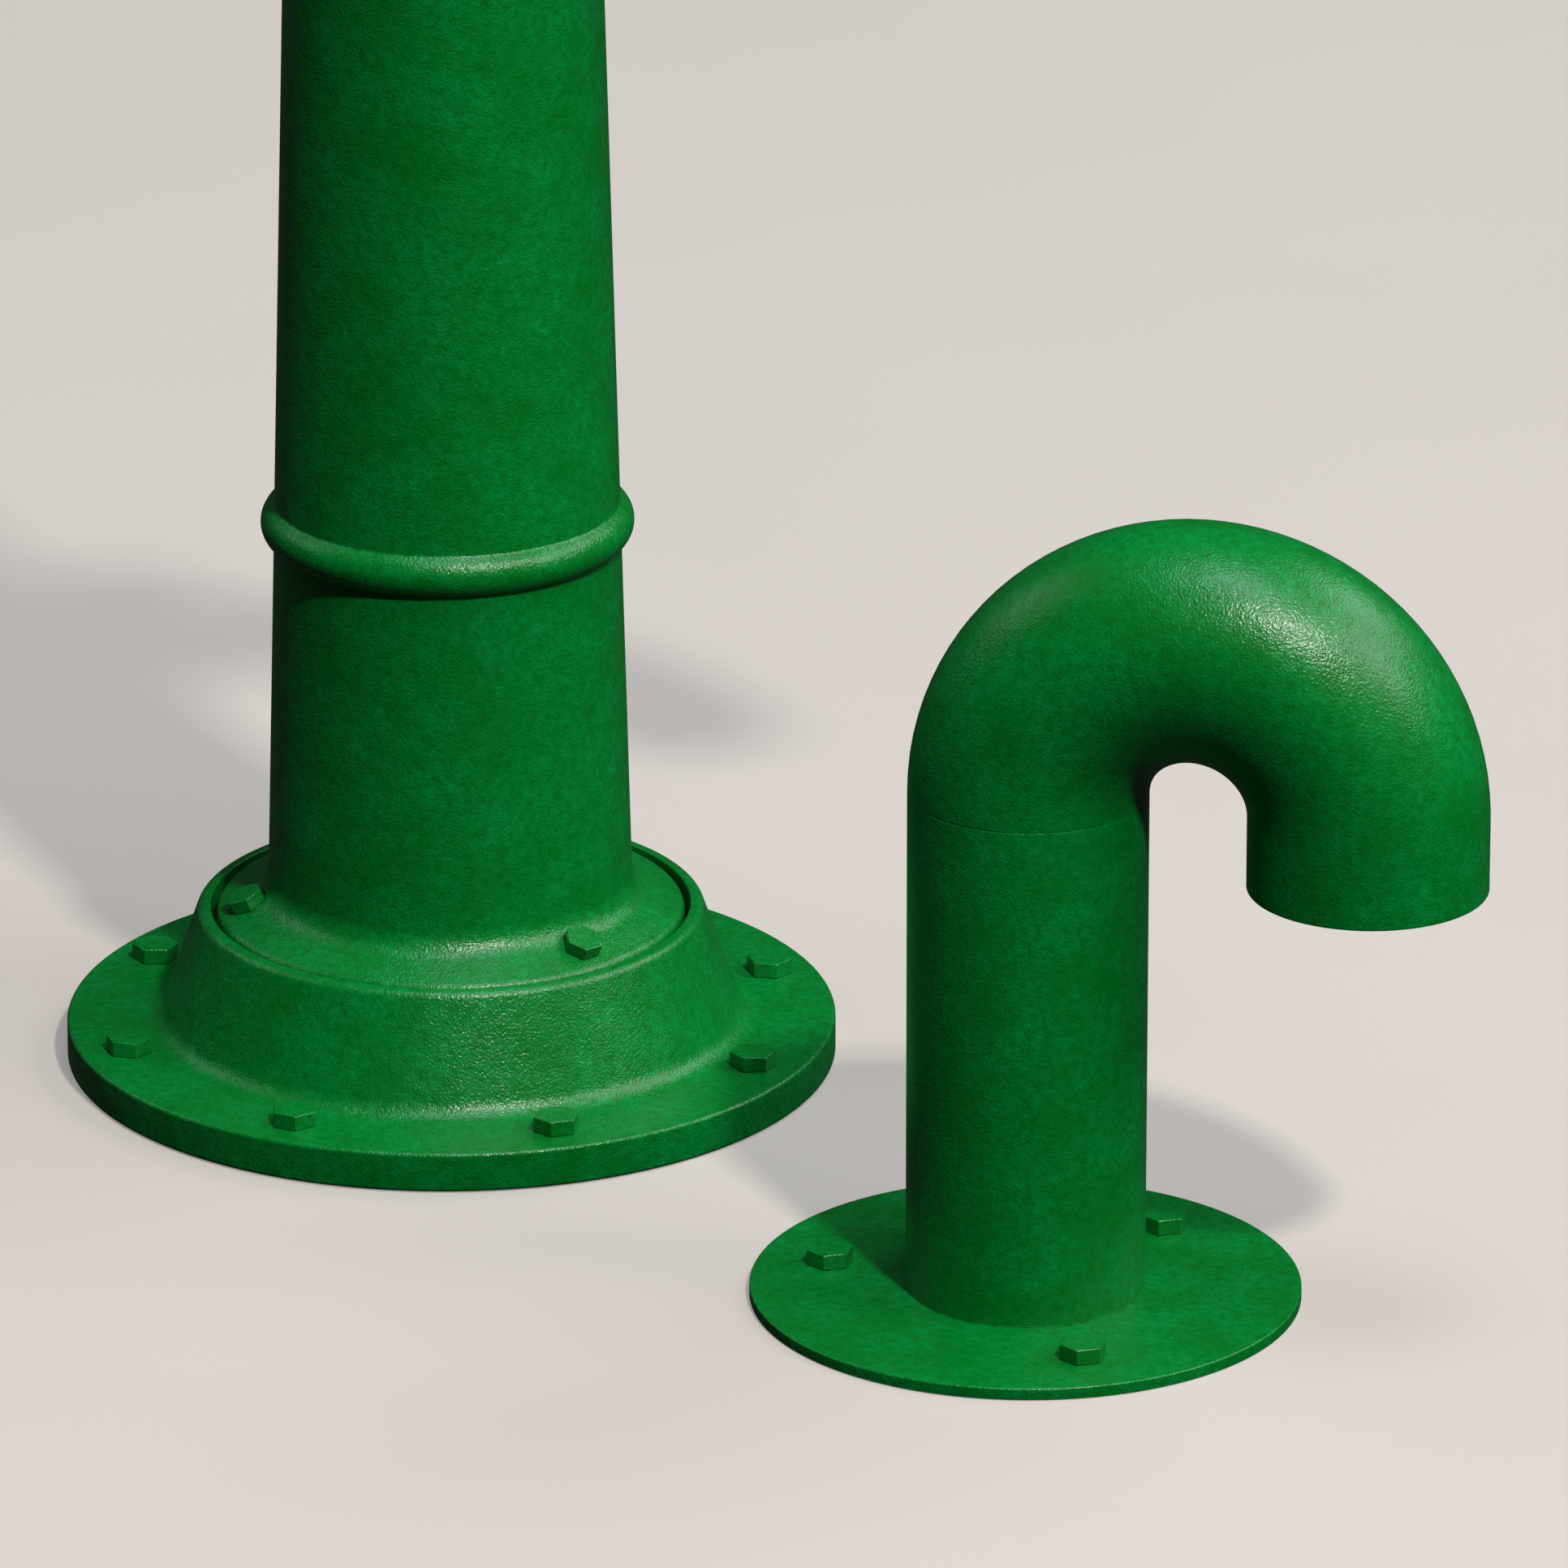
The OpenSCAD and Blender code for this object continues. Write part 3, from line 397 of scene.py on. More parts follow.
lifted = add(circling, "GeometryNodeTransform",
             links={"Geometry": tilted.outputs[0], "Translation": given["Place"], "Rotation": given["Turn"]})
real = add(circling, "GeometryNodeRealizeInstances", links={"Geometry": lifted.outputs[0]})
coated = add(circling, "GeometryNodeSetMaterial",
             links={"Geometry": real.outputs[0], "Material": given["Finish"]})
below = add(circling, "FunctionNodeCompare", links={0: coordinates(circling)["Z"], 1: given["Bare Below"]},
            data_type="FLOAT", operation="LESS_THAN")
bared = add(circling, "GeometryNodeSetMaterial",
            links={"Geometry": coated.outputs[0], "Selection": below.outputs[0], "Material": given["Bare"]})
add(circling, "NodeGroupOutput", links={0: bared.outputs[0]})


# A height below every bolt, for those that are painted all over
NEVER_BARE = -10000


def bolt_circle(name, bolt, count, circle, first, place, finish, tilt=0, turn=(0, 0, 0),
                bare_below=NEVER_BARE):
    """Sets bolts on a circle. Lengths are in millimetres and angles in degrees."""
    piece = baked(name, bolt, circling, {
        "Count": count, "Circle": circle * MM, "First": (0, 0, math.radians(first)),
        "Tilt": (0, math.radians(tilt), 0), "Place": place, "Turn": [math.radians(a) for a in turn],
        "Bare Below": bare_below * MM, "Finish": finish, "Bare": zinc_plate,
    })
    return smoothed(piece, crease=26)


# Zinc plate, electroplated and rolled with the thread: a grey metal that whitens in small blooms
zinc_plate, tree, where = new_finish("zinc_plated_rolled_steel")
bloom = noise(tree, where, 4, 5.0, 0.7)
plate = blended(tree, spread(tree, bloom, 0.0, 1.0, 0.45, 0.7), "#a3a7ab", "#c9c8c2")
dulled = spread(tree, bloom, 0.28, 0.58)
scuffed = bumped(tree, bloom, 0.05, 0.6)
shaded(tree, plate, dulled, scuffed, {"Metallic": 1.0})

# The same enamel over smooth rolled steel: a shallower grain, and shallower waves
enamel_on_steel = enamel("green_enamel_on_rolled_steel", 1.2, 0.31, 0.4)

# Width across the flats and height of the heads on all M12 bolts
m12_flats = 19
m12_head = 7.5
anchor_reach = 40
anchor_bolt = hexagon_bolt("anchor_bolt", m12_flats, m12_head, flange_top, anchor_reach)
anchors = bolt_circle("anchor_bolts", anchor_bolt, 8, 157.5, 22.5, (0, 0, flange_top * MM), enamel_on_steel,
                      bare_below=-1)
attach(anchors, "root")
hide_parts("base_bolts")


# ------------------------------------------------------------------------------------------ foot gasket
# A ring of sheet rubber is squeezed between the ring's shelf and the column's foot. Its cut edge shows as a
# dark line in the gap behind the rim.
sheet_rubber, tree, where = new_finish("calendered_sheet_rubber")
bloomed = noise(tree, where, 9, 6.0, 0.7)
dusted = blended(tree, bloomed, "#1b1c1d", "#3b3c3b")
cloth_mark = bumped(tree, noise(tree, where, 0.8, 2.0), 0.08, 0.7)
matt = spread(tree, bloomed, 0.62, 0.85)
shaded(tree, dusted, matt, cloth_mark, {"IOR": 1.52})


def dress(finish, *names):
    """Gives CAD nodes that stay as they are their real finish."""
    for name in names:
        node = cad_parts[name]
        node.data.materials.clear()
        node.data.materials.append(finish)


dress(sheet_rubber, "foot_gasket", "bonnet_gasket", "spout_gasket")


# ------------------------------------------------------------------------------------------ column
# The column is one hollow iron casting that narrows as it rises: a sloping foot flange, a half-round bead, a
# branch for the spout with its square-edged flange, and a round flange under the bonnet.

def column_r(height):
    """The column's outer radius at a height: 87.2 mm at the cover, and less as it rises."""
    return 87.2 - 0.026 * height


foot_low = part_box("column")[0].z / MM
foot_r = 109.4
foot_edge = foot_low + 15
foot_slope = 23
slope = math.tan(math.radians(foot_slope))
foot_recess_r = 79.3
column_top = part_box("column")[1].z / MM
head_low = 984
head_r = 88
cast_bore_r = 71
top_bore_r = 50.2
bead_z = 263.5
bead_r = 10.38
bead_x = column_r(bead_z) + 6.2 - bead_r
bead_low = 253.4
bead_high = 273.6
bead = [(bead_x + bead_r * math.cos(math.radians(a)), bead_z + bead_r * math.sin(math.radians(a)), 0)
        for a in range(-63, 64, 7)]
column_casting = turned_piece("column_casting", rounded([
    (foot_r, foot_low, 0.6), (foot_r, foot_edge, 5),
    (column_r(83), foot_edge + (foot_r - column_r(83)) * slope, 14),
    (column_r(bead_low), bead_low, 1.2), *bead, (column_r(bead_high), bead_high, 1.2),
    (column_r(head_low), head_low, 8), (head_r, head_low, 2), (head_r, column_top, 2),
    (top_bore_r, column_top, 1), (cast_bore_r, 98, 3), (cast_bore_r, foot_low + 10, 0),
    (foot_recess_r, foot_low + 10, 0.5), (foot_recess_r, foot_low, 0.5),
]), enamel_on_casting, steps=192)

# The branch is turned round its own axis, with a cast fillet that runs out over the column
branch_z = 690
branch_r = 44
branch_fillet = 12
branch_steps = 96
spout_bore_r = 33
spout_flange_r = 70
branch_face = 98
branch_flange_back = 86
branch_start = 40
branch = turned_piece("branch", rounded([
    (spout_bore_r, branch_start, 0), (spout_bore_r, branch_face, 0.8), (spout_flange_r, branch_face, 1.6),
    (spout_flange_r, branch_flange_back, 1.6), (branch_r, branch_flange_back, 1), (branch_r, branch_start, 0),
]), enamel_on_casting, steps=branch_steps, place=(0, 0, branch_z * MM), turn=(0, 90, 0))
shape = bmesh.new()
rows = []
for step in range(9):
    swing = math.radians(90 * step / 8)
    reach = branch_r + branch_fillet * (1 - math.cos(swing))
    rows.append((reach, branch_fillet * (1 - math.sin(swing)) - 0.15))
rows += [(branch_r + branch_fillet, -4), (branch_r - 1, -4), (branch_r - 1, branch_fillet)]
skirt = []
for reach, proud in rows:
    ring = []
    for step in range(branch_steps):
        swing = math.radians(360 * step / branch_steps)
        y = reach * math.cos(swing)
        z = branch_z + reach * math.sin(swing)
        x = math.sqrt(column_r(z) ** 2 - y ** 2) + proud
        ring.append(shape.verts.new((x * MM, y * MM, z * MM)))
    skirt.append(ring)
for i, ring in enumerate(skirt):
    following = skirt[(i + 1) % len(skirt)]
    for k in range(branch_steps):
        after = (k + 1) % branch_steps
        shape.faces.new((ring[k], following[k], following[after], ring[after]))
mesh = bpy.data.meshes.new("branch_fillet")
shape.to_mesh(mesh)
shape.free()
mesh.materials.append(enamel_on_casting)
fillet = bpy.data.objects.new("branch_fillet", mesh)
bpy.context.scene.collection.objects.link(fillet)
smoothed(fillet)

# Each foot bolt's seat was spot-faced into the fillet, square to the slope
foot_bolt_n = 3
foot_bolt_first = -46
foot_bolt_r = 95.5
foot_bolt_z = foot_edge + (foot_r - foot_bolt_r) * slope
facer_r = 10 * MM
facer_high = 20 * MM
cutter_shape = bmesh.new()
for k in range(foot_bolt_n):
    seat = (Matrix.Rotation(math.radians(foot_bolt_first + 120 * k), 4, "Z")
            @ Matrix.Translation((foot_bolt_r * MM, 0, foot_bolt_z * MM))
            @ Matrix.Rotation(math.radians(foot_slope), 4, "Y") @ Matrix.Translation((0, 0, facer_high / 2)))
    bmesh.ops.create_cone(cutter_shape, cap_ends=True, segments=40, radius1=facer_r, radius2=facer_r,
                          depth=facer_high, matrix=seat)
mesh = bpy.data.meshes.new("spot_facer")
cutter_shape.to_mesh(mesh)
cutter_shape.free()
cutter = bpy.data.objects.new("spot_facer", mesh)
bpy.context.scene.collection.objects.link(cutter)
cut = column_casting.modifiers.new("spot_faces", "BOOLEAN")
cut.operation = "DIFFERENCE"
cut.solver = "EXACT"
cut.object = cutter
finished(column_casting)
column_casting.modifiers.clear()
bpy.data.objects.remove(cutter)


def joined(piece, *others):
    """Puts the other pieces' meshes into this one."""
    shape = bmesh.new()
    for one in (piece, *others):
        shape.from_mesh(one.data)
    shape.to_mesh(piece.data)
    shape.free()
    for one in others:
        bpy.data.objects.remove(one)
    return piece


joined(column_casting, branch, fillet)
column_casting.data.set_sharp_from_angle(angle=math.radians(32))
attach(column_casting, "root")
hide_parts("column")


# ------------------------------------------------------------------------------------------ foot bolts
# Three M10 hexagon bolts hold the column down on the shelf. They stand square to the sloping flange, so their
# heads lean outwards, and they were painted with it.
foot_bolt = hexagon_bolt("foot_bolt", 16, 6.4, 27, 0, 5.0)
foot_bolts = bolt_circle("foot_hold_down_bolts", foot_bolt, foot_bolt_n, foot_bolt_r, foot_bolt_first,
                         (0, 0, foot_bolt_z * MM), enamel_on_steel, tilt=foot_slope)
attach(foot_bolts, "root")
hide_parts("foot_bolts")


# ------------------------------------------------------------------------------------------ pump works
# The foot valve, the cylinder and the piston's parts are cast and turned brass, browned by well water. The
# rod's lock nut, the guide bush and the gland nut are of the same metal.
well_brass, tree, where = new_finish("turned_cast_brass")
stain = noise(tree, where, 12, 7.0, 0.68)
brassy = blended(tree, spread(tree, stain, 0.0, 1.0, 0.42, 0.72), "#c8a256", "#7d5a2c")
# A lathe's feed marks are 0.2 mm apart; drawn at 0.9 mm so that they show
squeezed = add(tree, "ShaderNodeMapping", {"Scale": (0.02, 0.02, 1.0)}, {"Vector": where}).outputs[0]
turned_skin = bumped(tree, noise(tree, squeezed, 0.9, 1.0), 0.04, 0.5)
tarnish = spread(tree, stain, 0.24, 0.52)
shaded(tree, brassy, tarnish, turned_skin, {"Metallic": 1.0})
dress(well_brass, "valve_seat", "foot_valve", "valve_cage", "cylinder", "piston_body", "cup_spacer",
      "piston_cage", "piston_valve", "rod_lock_nut", "guide_bush", "gland_nut", "fulcrum_bush")

# Cup leathers, valve faces and the gland's packing are oak-tanned hide, pressed wet to shape and greased
oiled_leather, tree, where = new_finish("oak_tanned_pump_leather")
hide = noise(tree, where, 10, 5.0)
tanned = blended(tree, hide, "#8a5a34", "#4e2f1a")
pores = add(tree, "ShaderNodeTexVoronoi", {"Scale": 1 / (1.2 * MM)}, {"Vector": where}).outputs["Distance"]
grained = bumped(tree, pores, 0.12, 0.8)
greased = spread(tree, hide, 0.40, 0.68)
shaded(tree, tanned, greased, grained, {"IOR": 1.48})
dress(oiled_leather, "foot_valve_seal", "cup_lower", "cup_upper", "piston_valve_seal", "gland_packing")

# The rod and the pins are bright-drawn steel, oiled, with faint rubbing marks along them
drawn_steel, tree, where = new_finish("bright_drawn_steel")
stretched = add(tree, "ShaderNodeMapping", {"Scale": (1.0, 1.0, 0.03)}, {"Vector": where}).outputs[0]
rubbed = noise(tree, stretched, 0.7, 3.0)
steely = blended(tree, noise(tree, where, 15, 6.0), "#9a9ea3", "#6c6a66")
polish = spread(tree, rubbed, 0.28, 0.50)
shaded(tree, steely, polish, bumped(tree, rubbed, 0.03, 0.5), {"Metallic": 0.55})
dress(drawn_steel, "piston_rod", "cross_pin", "cross_pin_clips", "fulcrum_pin", "fulcrum_washer",
      "fulcrum_split_pin")


# ------------------------------------------------------------------------------------------ bonnet
# The bonnet closes the column: a flanged dome with the stuffing box on top, and two cheeks that carry the
# lever's fulcrum. One iron casting, so its corners and roots are all rounded by the pattern and the sand.

def cast(name, node, voxel_mm, passes):
    """A casting's mesh from its CAD node: the same solid with its corners and its roots rounded off."""
    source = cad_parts[node].data.copy()
    shape = bmesh.new()
    shape.from_mesh(source)
    bmesh.ops.remove_doubles(shape, verts=shape.verts, dist=0.01 * MM)
    shape.to_mesh(source)
    shape.free()
    source.materials.clear()
    source.materials.append(enamel_on_casting)
    piece = bpy.data.objects.new(name, source)
    bpy.context.scene.collection.objects.link(piece)
    shell = piece.modifiers.new("shell", "REMESH")
    shell.mode = "VOXEL"
    shell.voxel_size = voxel_mm * MM
    eased = piece.modifiers.new("eased", "SMOOTH")
    eased.factor = 0.5
    eased.iterations = passes
    finished(piece)
    piece.modifiers.clear()
    piece.data.shade_smooth()
    return piece


bonnet_casting = cast("bonnet_casting", "bonnet", 1.7, 6)
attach(bonnet_casting, "root")
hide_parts("bonnet")

bonnet_face = 1018
bonnet_bolt = hexagon_bolt("bonnet_bolt", m12_flats, m12_head, 34, 0)
bonnet_bolts = bolt_circle("bonnet_hold_down_bolts", bonnet_bolt, 4, 75, 45, (0, 0, bonnet_face * MM),
                           enamel_on_steel)
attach(bonnet_bolts, "root")
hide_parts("bonnet_bolts")


# ------------------------------------------------------------------------------------------ spout
# The spout is an iron casting: a round flange, a plain tube that turns down through a quarter circle, and a
# rounded bead at its mouth. Four bolts and nuts clamp it to the column's branch over a gasket.

def divided(outline, longest):
    """The outline with its long straight stretches divided, so that they can bend."""
    points = []
    for i, here in enumerate(outline):
        following = outline[(i + 1) % len(outline)]
        pieces = max(1, math.ceil((following - here).length / longest))
        points += [here.lerp(following, k / pieces) for k in range(pieces)]
    return points


spout_r = 40
spout_bead_r = 44.9
spout_face = 100
spout_flange_front = spout_face + 12
spout_bend_r = 118
bend_start = 180
mouth = bend_start + spout_bend_r * math.pi / 2 + 16
spout_casting = turned_piece("spout_casting", divided(rounded([
    (spout_bore_r, spout_face, 0.8), (spout_flange_r, spout_face, 1.6),
    (spout_flange_r, spout_flange_front, 1.6), (spout_r, spout_flange_front, 5), (spout_r, mouth - 11, 2.5),
    (spout_bead_r, mouth - 9.9, 3.6), (spout_bead_r, mouth, 4.2), (spout_bore_r, mouth, 2.5),
]), 6), enamel_on_casting, steps=96, bend=(bend_start, spout_bend_r, 90), place=(0, 0, branch_z * MM),
    turn=(0, 90, 0))
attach(spout_casting, "root")
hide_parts("spout")

spout_bolt_n = 4
spout_bolt_circle = 56.5
spout_bolt = hexagon_bolt("spout_bolt", m12_flats, m12_head, 26, 13)
spout_bolts = bolt_circle("spout_clamp_bolts", spout_bolt, spout_bolt_n, spout_bolt_circle, 45,
                          (spout_flange_front * MM, 0, branch_z * MM), enamel_on_steel, turn=(0, 90, 0))
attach(spout_bolts, "root")
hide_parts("spout_bolts")
spout_nut = hexagon_bolt("spout_nut", m12_flats, 10, 0, 0)
spout_nuts = bolt_circle("spout_clamp_nuts", spout_nut, spout_bolt_n, spout_bolt_circle, 45,
                         (branch_flange_back * MM, 0, branch_z * MM), enamel_on_steel, turn=(0, -90, 0))
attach(spout_nuts, "root")
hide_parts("spout_nuts")


# ------------------------------------------------------------------------------------------ lever
# The lever's head is an iron casting with a hub, a slotted eye for the rod's pin and a socket. The bar is
# round steel, forged to a taper and bent, riveted into the socket, with a turned knob at its end.
lever_casting = cast("lever_casting", "lever_head", 1.1, 5)
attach(lever_casting, "lever")
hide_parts("lever_head")

fulcrum = (-95 * MM, 0, 1215 * MM)
socket_fall = 35
bar_turn = (0, 90 + socket_fall, 180)
bar_start = 40
bar_bend_start = 110
bar_bend_r = 200
bar_bend_angle = 40
bar_bend = (bar_bend_start, bar_bend_r, bar_bend_angle)
straight_start = bar_bend_start + bar_bend_r * math.radians(bar_bend_angle)
bar_end = straight_start + 370
bar_r = 12
bar_tip_r = 9.5
handle_bar = turned_piece("handle_bar", divided(rounded([
    (0, bar_start, 0), (bar_r, bar_start, 1), (bar_r, straight_start, 0), (bar_tip_r, bar_end, 0),
    (0, bar_end, 0),
]), 9), enamel_on_steel, steps=40, bend=bar_bend, place=fulcrum, turn=bar_turn)
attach(handle_bar, "lever")
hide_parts("lever_bar")

knob_r = 22
ball = [(knob_r * math.cos(math.radians(a)), bar_end + knob_r + knob_r * math.sin(math.radians(a)), 0)
        for a in range(-48, 90, 6)]
handle_end = turned_piece("handle_end", rounded([
    (0, bar_end, 0), (12.5, bar_end, 1.4), (13.2, bar_end + 4.5, 1.6), *ball, (0, bar_end + 2 * knob_r, 0),
]), enamel_on_steel, steps=56, bend=bar_bend, place=fulcrum, turn=bar_turn)
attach(handle_end, "lever")
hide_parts("handle_knob")
dress(enamel_on_steel, "lever_rivets")

# The rod's fork is cast too, screwed on the rod and painted where it stands above the gland
fork_casting = cast("fork_casting", "rod_fork", 0.8, 4)
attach(fork_casting, "rod")
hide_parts("rod_fork")


# ------------------------------------------------------------------------------------------ vent
# The well's vent is a gooseneck of drawn steel tube: a round plate flange with three bolts, a standpipe
# welded to it, and a half-circle bend welded on top whose mouth looks down. It is painted with the pump.
vent_distance = 400 * MM
vent_side = math.radians(-45)
vent_place = (vent_distance * math.cos(vent_side), vent_distance * math.sin(vent_side), 0)
vent_turn = (0, 0, -9)
tube_r = 54
tube_wall = 3.6
tube_bore_r = tube_r - tube_wall
seam_r = tube_r - 0.2
plate_r = 124.4
plate_t = 5.5
joint_z = 241.6
vent_plate = turned_piece("vent_plate", rounded([
    (tube_r - 0.5, 0, 0), (plate_r, 0, 0.4), (plate_r, plate_t, 0.9), (tube_r + 0.05, plate_t, 0),
    (tube_r + 0.05, plate_t + 0.6, 0), (tube_r - 0.5, plate_t + 1, 0),
]), enamel_on_steel, steps=160, place=vent_place, turn=vent_turn)
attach(vent_plate, "root")
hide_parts("vent_flange")

standpipe = turned_piece("standpipe", rounded([
    (tube_bore_r, 0, 0), (tube_r, 0, 0), (tube_r, joint_z - 0.5, 0.2), (seam_r, joint_z, 0),
    (tube_bore_r, joint_z, 0),
]), enamel_on_steel, steps=144, place=vent_place, turn=vent_turn)
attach(standpipe, "root")
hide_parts("vent_pipe")

bend_r = 77
bend_end = joint_z + math.pi * bend_r
mouth_z = 208.2
mouth_s = bend_end + joint_z - mouth_z
gooseneck = turned_piece("gooseneck", divided(rounded([
    (tube_bore_r, joint_z, 0), (seam_r, joint_z, 0), (tube_r, joint_z + 0.5, 0.2),
    (tube_r, mouth_s, 0.9), (tube_bore_r, mouth_s, 0.9),
]), 5), enamel_on_steel, steps=128, bend=(joint_z, bend_r, 180), place=vent_place, turn=vent_turn)
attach(gooseneck, "root")
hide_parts("vent_bend")

vent_bolt = hexagon_bolt("vent_bolt", m12_flats, m12_head, plate_t, anchor_reach)
vent_bolts = bolt_circle("vent_hold_down_bolts", vent_bolt, 3, 91, 49,
                         (vent_place[0], vent_place[1], plate_t * MM), enamel_on_steel, bare_below=-1)
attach(vent_bolts, "root")
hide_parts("vent_bolts")

# The insect screen in the mouth is plain-woven wire. Real mesh has wires about 1.5 mm apart; it is drawn at
# 4 mm. A row of wires is laid and turned a quarter for the other row, and both are waved over and under.
weaving, given = new_tree("woven_screen", [
    ("Start", "NodeSocketGeometry"), ("Screen Radius", "NodeSocketFloat"), ("Pitch", "NodeSocketFloat"),
    ("Wire Radius", "NodeSocketFloat"), ("Count", "NodeSocketInt"), ("Points", "NodeSocketInt"),
    ("Place", "NodeSocketVector"), ("Turn", "NodeSocketRotation"), ("Finish", "NodeSocketMaterial"),
])
less = arithmetic(weaving, "SUBTRACT", 0.0, given["Screen Radius"])
left = add(weaving, "ShaderNodeCombineXYZ", links={"X": less})
right = add(weaving, "ShaderNodeCombineXYZ", links={"X": given["Screen Radius"]})
wire = add(weaving, "GeometryNodeCurvePrimitiveLine",
           links={"Start": left.outputs[0], "End": right.outputs[0]})
fine = add(weaving, "GeometryNodeResampleCurve", links={"Curve": wire.outputs[0], "Count": given["Points"]})
step_y = add(weaving, "ShaderNodeCombineXYZ", links={"Y": given["Pitch"]})
half_count = arithmetic(weaving, "MULTIPLY", given["Count"], 0.5)
whole_half = arithmetic(weaving, "FLOOR", half_count)
first_y = arithmetic(weaving, "MULTIPLY", whole_half, given["Pitch"])
first_down = arithmetic(weaving, "SUBTRACT", 0.0, first_y)
first_spot = add(weaving, "ShaderNodeCombineXYZ", links={"Y": first_down})
row_line = add(weaving, "GeometryNodeMeshLine", links={
    "Count": given["Count"], "Start Location": first_spot.outputs[0], "Offset": step_y.outputs[0],
})
warp = add(weaving, "GeometryNodeInstanceOnPoints",
           links={"Points": row_line.outputs[0], "Instance": fine.outputs[0]})
warp_real = add(weaving, "GeometryNodeRealizeInstances", links={"Geometry": warp.outputs[0]})
weft_real = add(weaving, "GeometryNodeTransform", {"Rotation": (0, 0, math.pi / 2)},
                {"Geometry": warp_real.outputs[0]})
here = coordinates(weaving)
turn_x = arithmetic(weaving, "MULTIPLY", arithmetic(weaving, "DIVIDE", here["X"], given["Pitch"]), math.pi)
turn_y = arithmetic(weaving, "MULTIPLY", arithmetic(weaving, "DIVIDE", here["Y"], given["Pitch"]), math.pi)
wave_x = arithmetic(weaving, "COSINE", turn_x)
wave_y = arithmetic(weaving, "COSINE", turn_y)
over_under = arithmetic(weaving, "MULTIPLY", wave_x, wave_y)
rise = arithmetic(weaving, "MULTIPLY", over_under, given["Wire Radius"])
fall = arithmetic(weaving, "SUBTRACT", 0.0, rise)
up = add(weaving, "ShaderNodeCombineXYZ", links={"Z": rise})
down = add(weaving, "ShaderNodeCombineXYZ", links={"Z": fall})
warp_waved = add(weaving, "GeometryNodeSetPosition",
                 links={"Geometry": warp_real.outputs[0], "Offset": up.outputs[0]})
weft_waved = add(weaving, "GeometryNodeSetPosition",
                 links={"Geometry": weft_real.outputs[0], "Offset": down.outputs[0]})
woven = add(weaving, "GeometryNodeJoinGeometry", links={0: warp_waved.outputs[0]})
weaving.links.new(weft_waved.outputs[0], woven.inputs[0])
reach = add(weaving, "ShaderNodeVectorMath", links={0: add(weaving, "GeometryNodeInputPosition").outputs[0]},
            operation="LENGTH")
outside = add(weaving, "FunctionNodeCompare", links={0: reach.outputs["Value"], 1: given["Screen Radius"]},
              data_type="FLOAT", operation="GREATER_THAN")
trimmed = add(weaving, "GeometryNodeDeleteGeometry",
              links={"Geometry": woven.outputs[0], "Selection": outside.outputs[0]}, domain="POINT")
gauge = add(weaving, "GeometryNodeCurvePrimitiveCircle", {"Resolution": 5}, {"Radius": given["Wire Radius"]})
drawn_wire = add(weaving, "GeometryNodeCurveToMesh", {"Fill Caps": True},
                 {"Curve": trimmed.outputs[0], "Profile Curve": gauge.outputs[0]})
hung = add(weaving, "GeometryNodeTransform", links={
    "Geometry": drawn_wire.outputs[0], "Translation": given["Place"], "Rotation": given["Turn"],
})
wires = add(weaving, "GeometryNodeRealizeInstances", links={"Geometry": hung.outputs[0]})
wired = add(weaving, "GeometryNodeSetMaterial",
            links={"Geometry": wires.outputs[0], "Material": given["Finish"]})
add(weaving, "NodeGroupOutput", links={0: wired.outputs[0]})

screen_low, screen_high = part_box("vent_screen")
insect_screen = baked("insect_screen", bpy.data.meshes.new("insect_screen"), weaving, {
    "Screen Radius": 50.2 * MM, "Pitch": 4 * MM, "Wire Radius": 0.5 * MM, "Count": 25, "Points": 76,
    "Place": (screen_low + screen_high) / 2, "Turn": [math.radians(a) for a in vent_turn],
    "Finish": zinc_plate,
})
smoothed(insect_screen, crease=80)
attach(insect_screen, "root")
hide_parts("vent_screen")
dress(zinc_plate, "vent_screen_ring")


# ------------------------------------------------------------------------------------------ studio
# A plain pale floor, faintly lit from within, at the height of the well's cover. The key lamp stands at the
# front right, and four large soft lamps fill from the right, from above, from behind and from the left.
# The floor's top lies a little under the flanges, so that the faces don't share a plane
floor_half = 60
floor_z = -0.3 * MM
floor_corners = [(x * floor_half, y * floor_half, floor_z) for x, y in ((-1, -1), (1, -1), (1, 1), (-1, 1))]
floor_mesh = bpy.data.meshes.new("floor")
floor_mesh.from_pydata(floor_corners, [], [(0, 1, 2, 3)])
floor = bpy.data.objects.new("floor", floor_mesh)
bpy.context.scene.collection.objects.link(floor)
floor.visible_diffuse = False
floor.visible_glossy = False
screed, tree, where = new_finish("pale_smooth_screed")
pale = blended(tree, noise(tree, where, 500, 4.0), "#a39b94", "#9b938c")
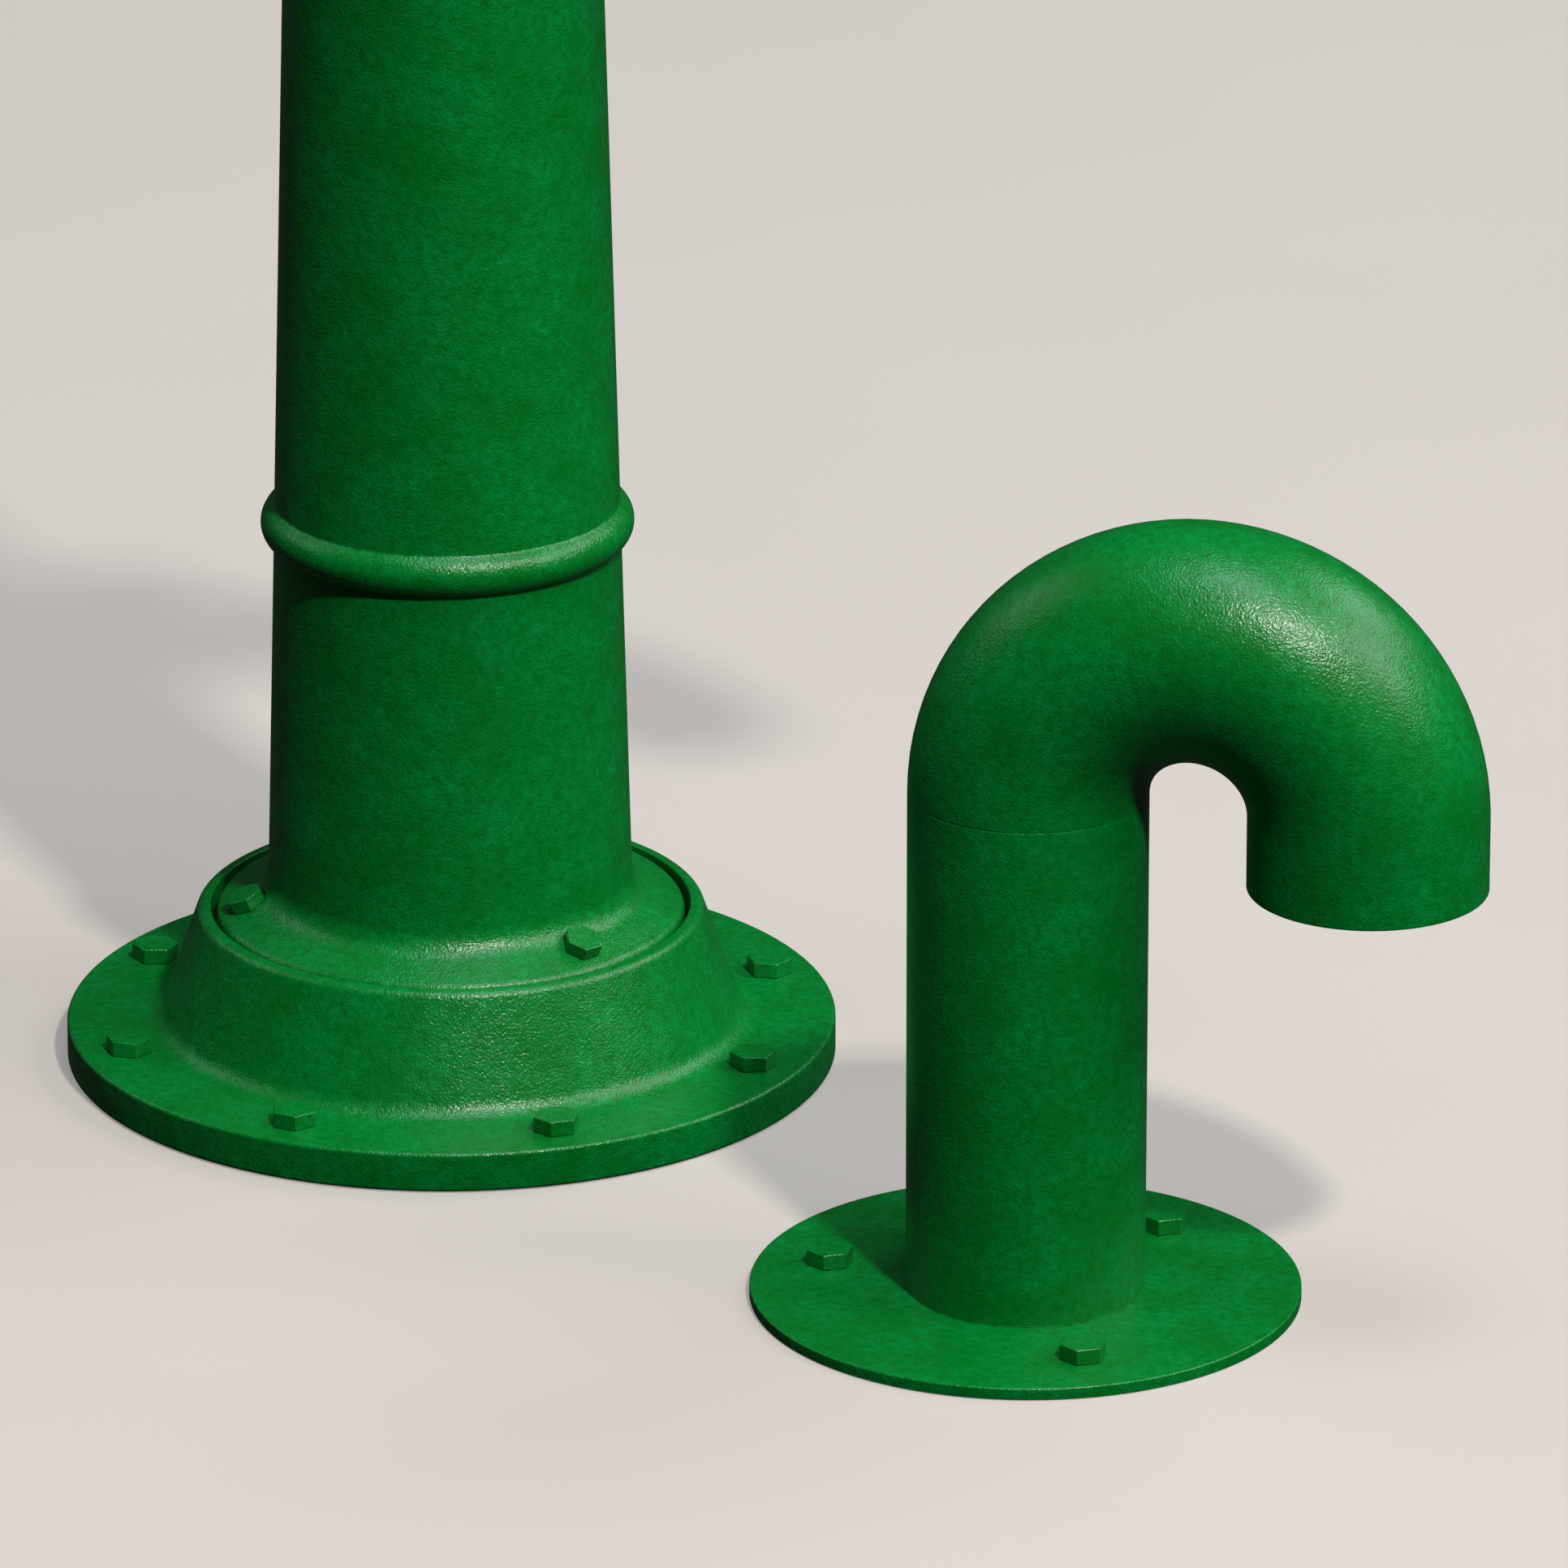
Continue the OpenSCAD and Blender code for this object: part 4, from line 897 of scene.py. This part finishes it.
shader = add(tree, "ShaderNodeBsdfPrincipled", {
    "Roughness": 0.9, "Specular IOR Level": 0.1, "Emission Color": colour("#efe9e4"),
    "Emission Strength": 0.28,
}, {"Base Color": pale})
add(tree, "ShaderNodeOutputMaterial", links={"Surface": shader.outputs[0]})
floor_mesh.materials.append(screed)

lamps_look_at = Vector((0.1, 0, 0.4))
lamp_distance = 9.0


def soft_lamp(name, azimuth, elevation, size, power, tint):
    """A square lamp that looks at the middle of the object from a direction in degrees."""
    lamp = bpy.data.lights.new(name, "AREA")
    lamp.size = size
    lamp.energy = power
    lamp.color = colour(tint)[:3]
    holder = bpy.data.objects.new(name, lamp)
    towards = Vector((math.cos(math.radians(azimuth)) * math.cos(math.radians(elevation)),
                      math.sin(math.radians(azimuth)) * math.cos(math.radians(elevation)),
                      math.sin(math.radians(elevation))))
    holder.location = lamps_look_at + towards * lamp_distance
    holder.rotation_euler = towards.to_track_quat("Z", "Y").to_euler()
    bpy.context.scene.collection.objects.link(holder)


soft_lamp("key_lamp", 298, 48.5, 0.6, 720, "#fffcf6")
soft_lamp("right_lamp", 346, 38, 4.0, 380, "#fafcff")
soft_lamp("top_lamp", 300, 82, 3.0, 300, "#dcefff")
soft_lamp("back_lamp", 30, 40, 4.0, 260, "#f2f6ff")
soft_lamp("left_lamp", 158, 34, 4.0, 70, "#f2f6ff")
world = bpy.data.worlds.new("studio")
world.use_nodes = True
background = world.node_tree.nodes["Background"]
background.inputs["Color"].default_value = colour("#eef2f5")
background.inputs["Strength"].default_value = 0.025
bpy.context.scene.world = world
bpy.context.scene.view_settings.view_transform = "Standard"

camera_fall = 20.5476
camera_swing = 3.6
camera_data = bpy.data.cameras.new("camera")
camera_data.lens = 348.5
camera_data.sensor_width = 36
camera_data.clip_end = 100
camera = bpy.data.objects.new("camera", camera_data)
camera.location = (0.5714, -6.6010, 2.6153)
camera.rotation_euler = (math.radians(90 - camera_fall), 0, math.radians(camera_swing))
bpy.context.scene.collection.objects.link(camera)
bpy.context.scene.camera = camera
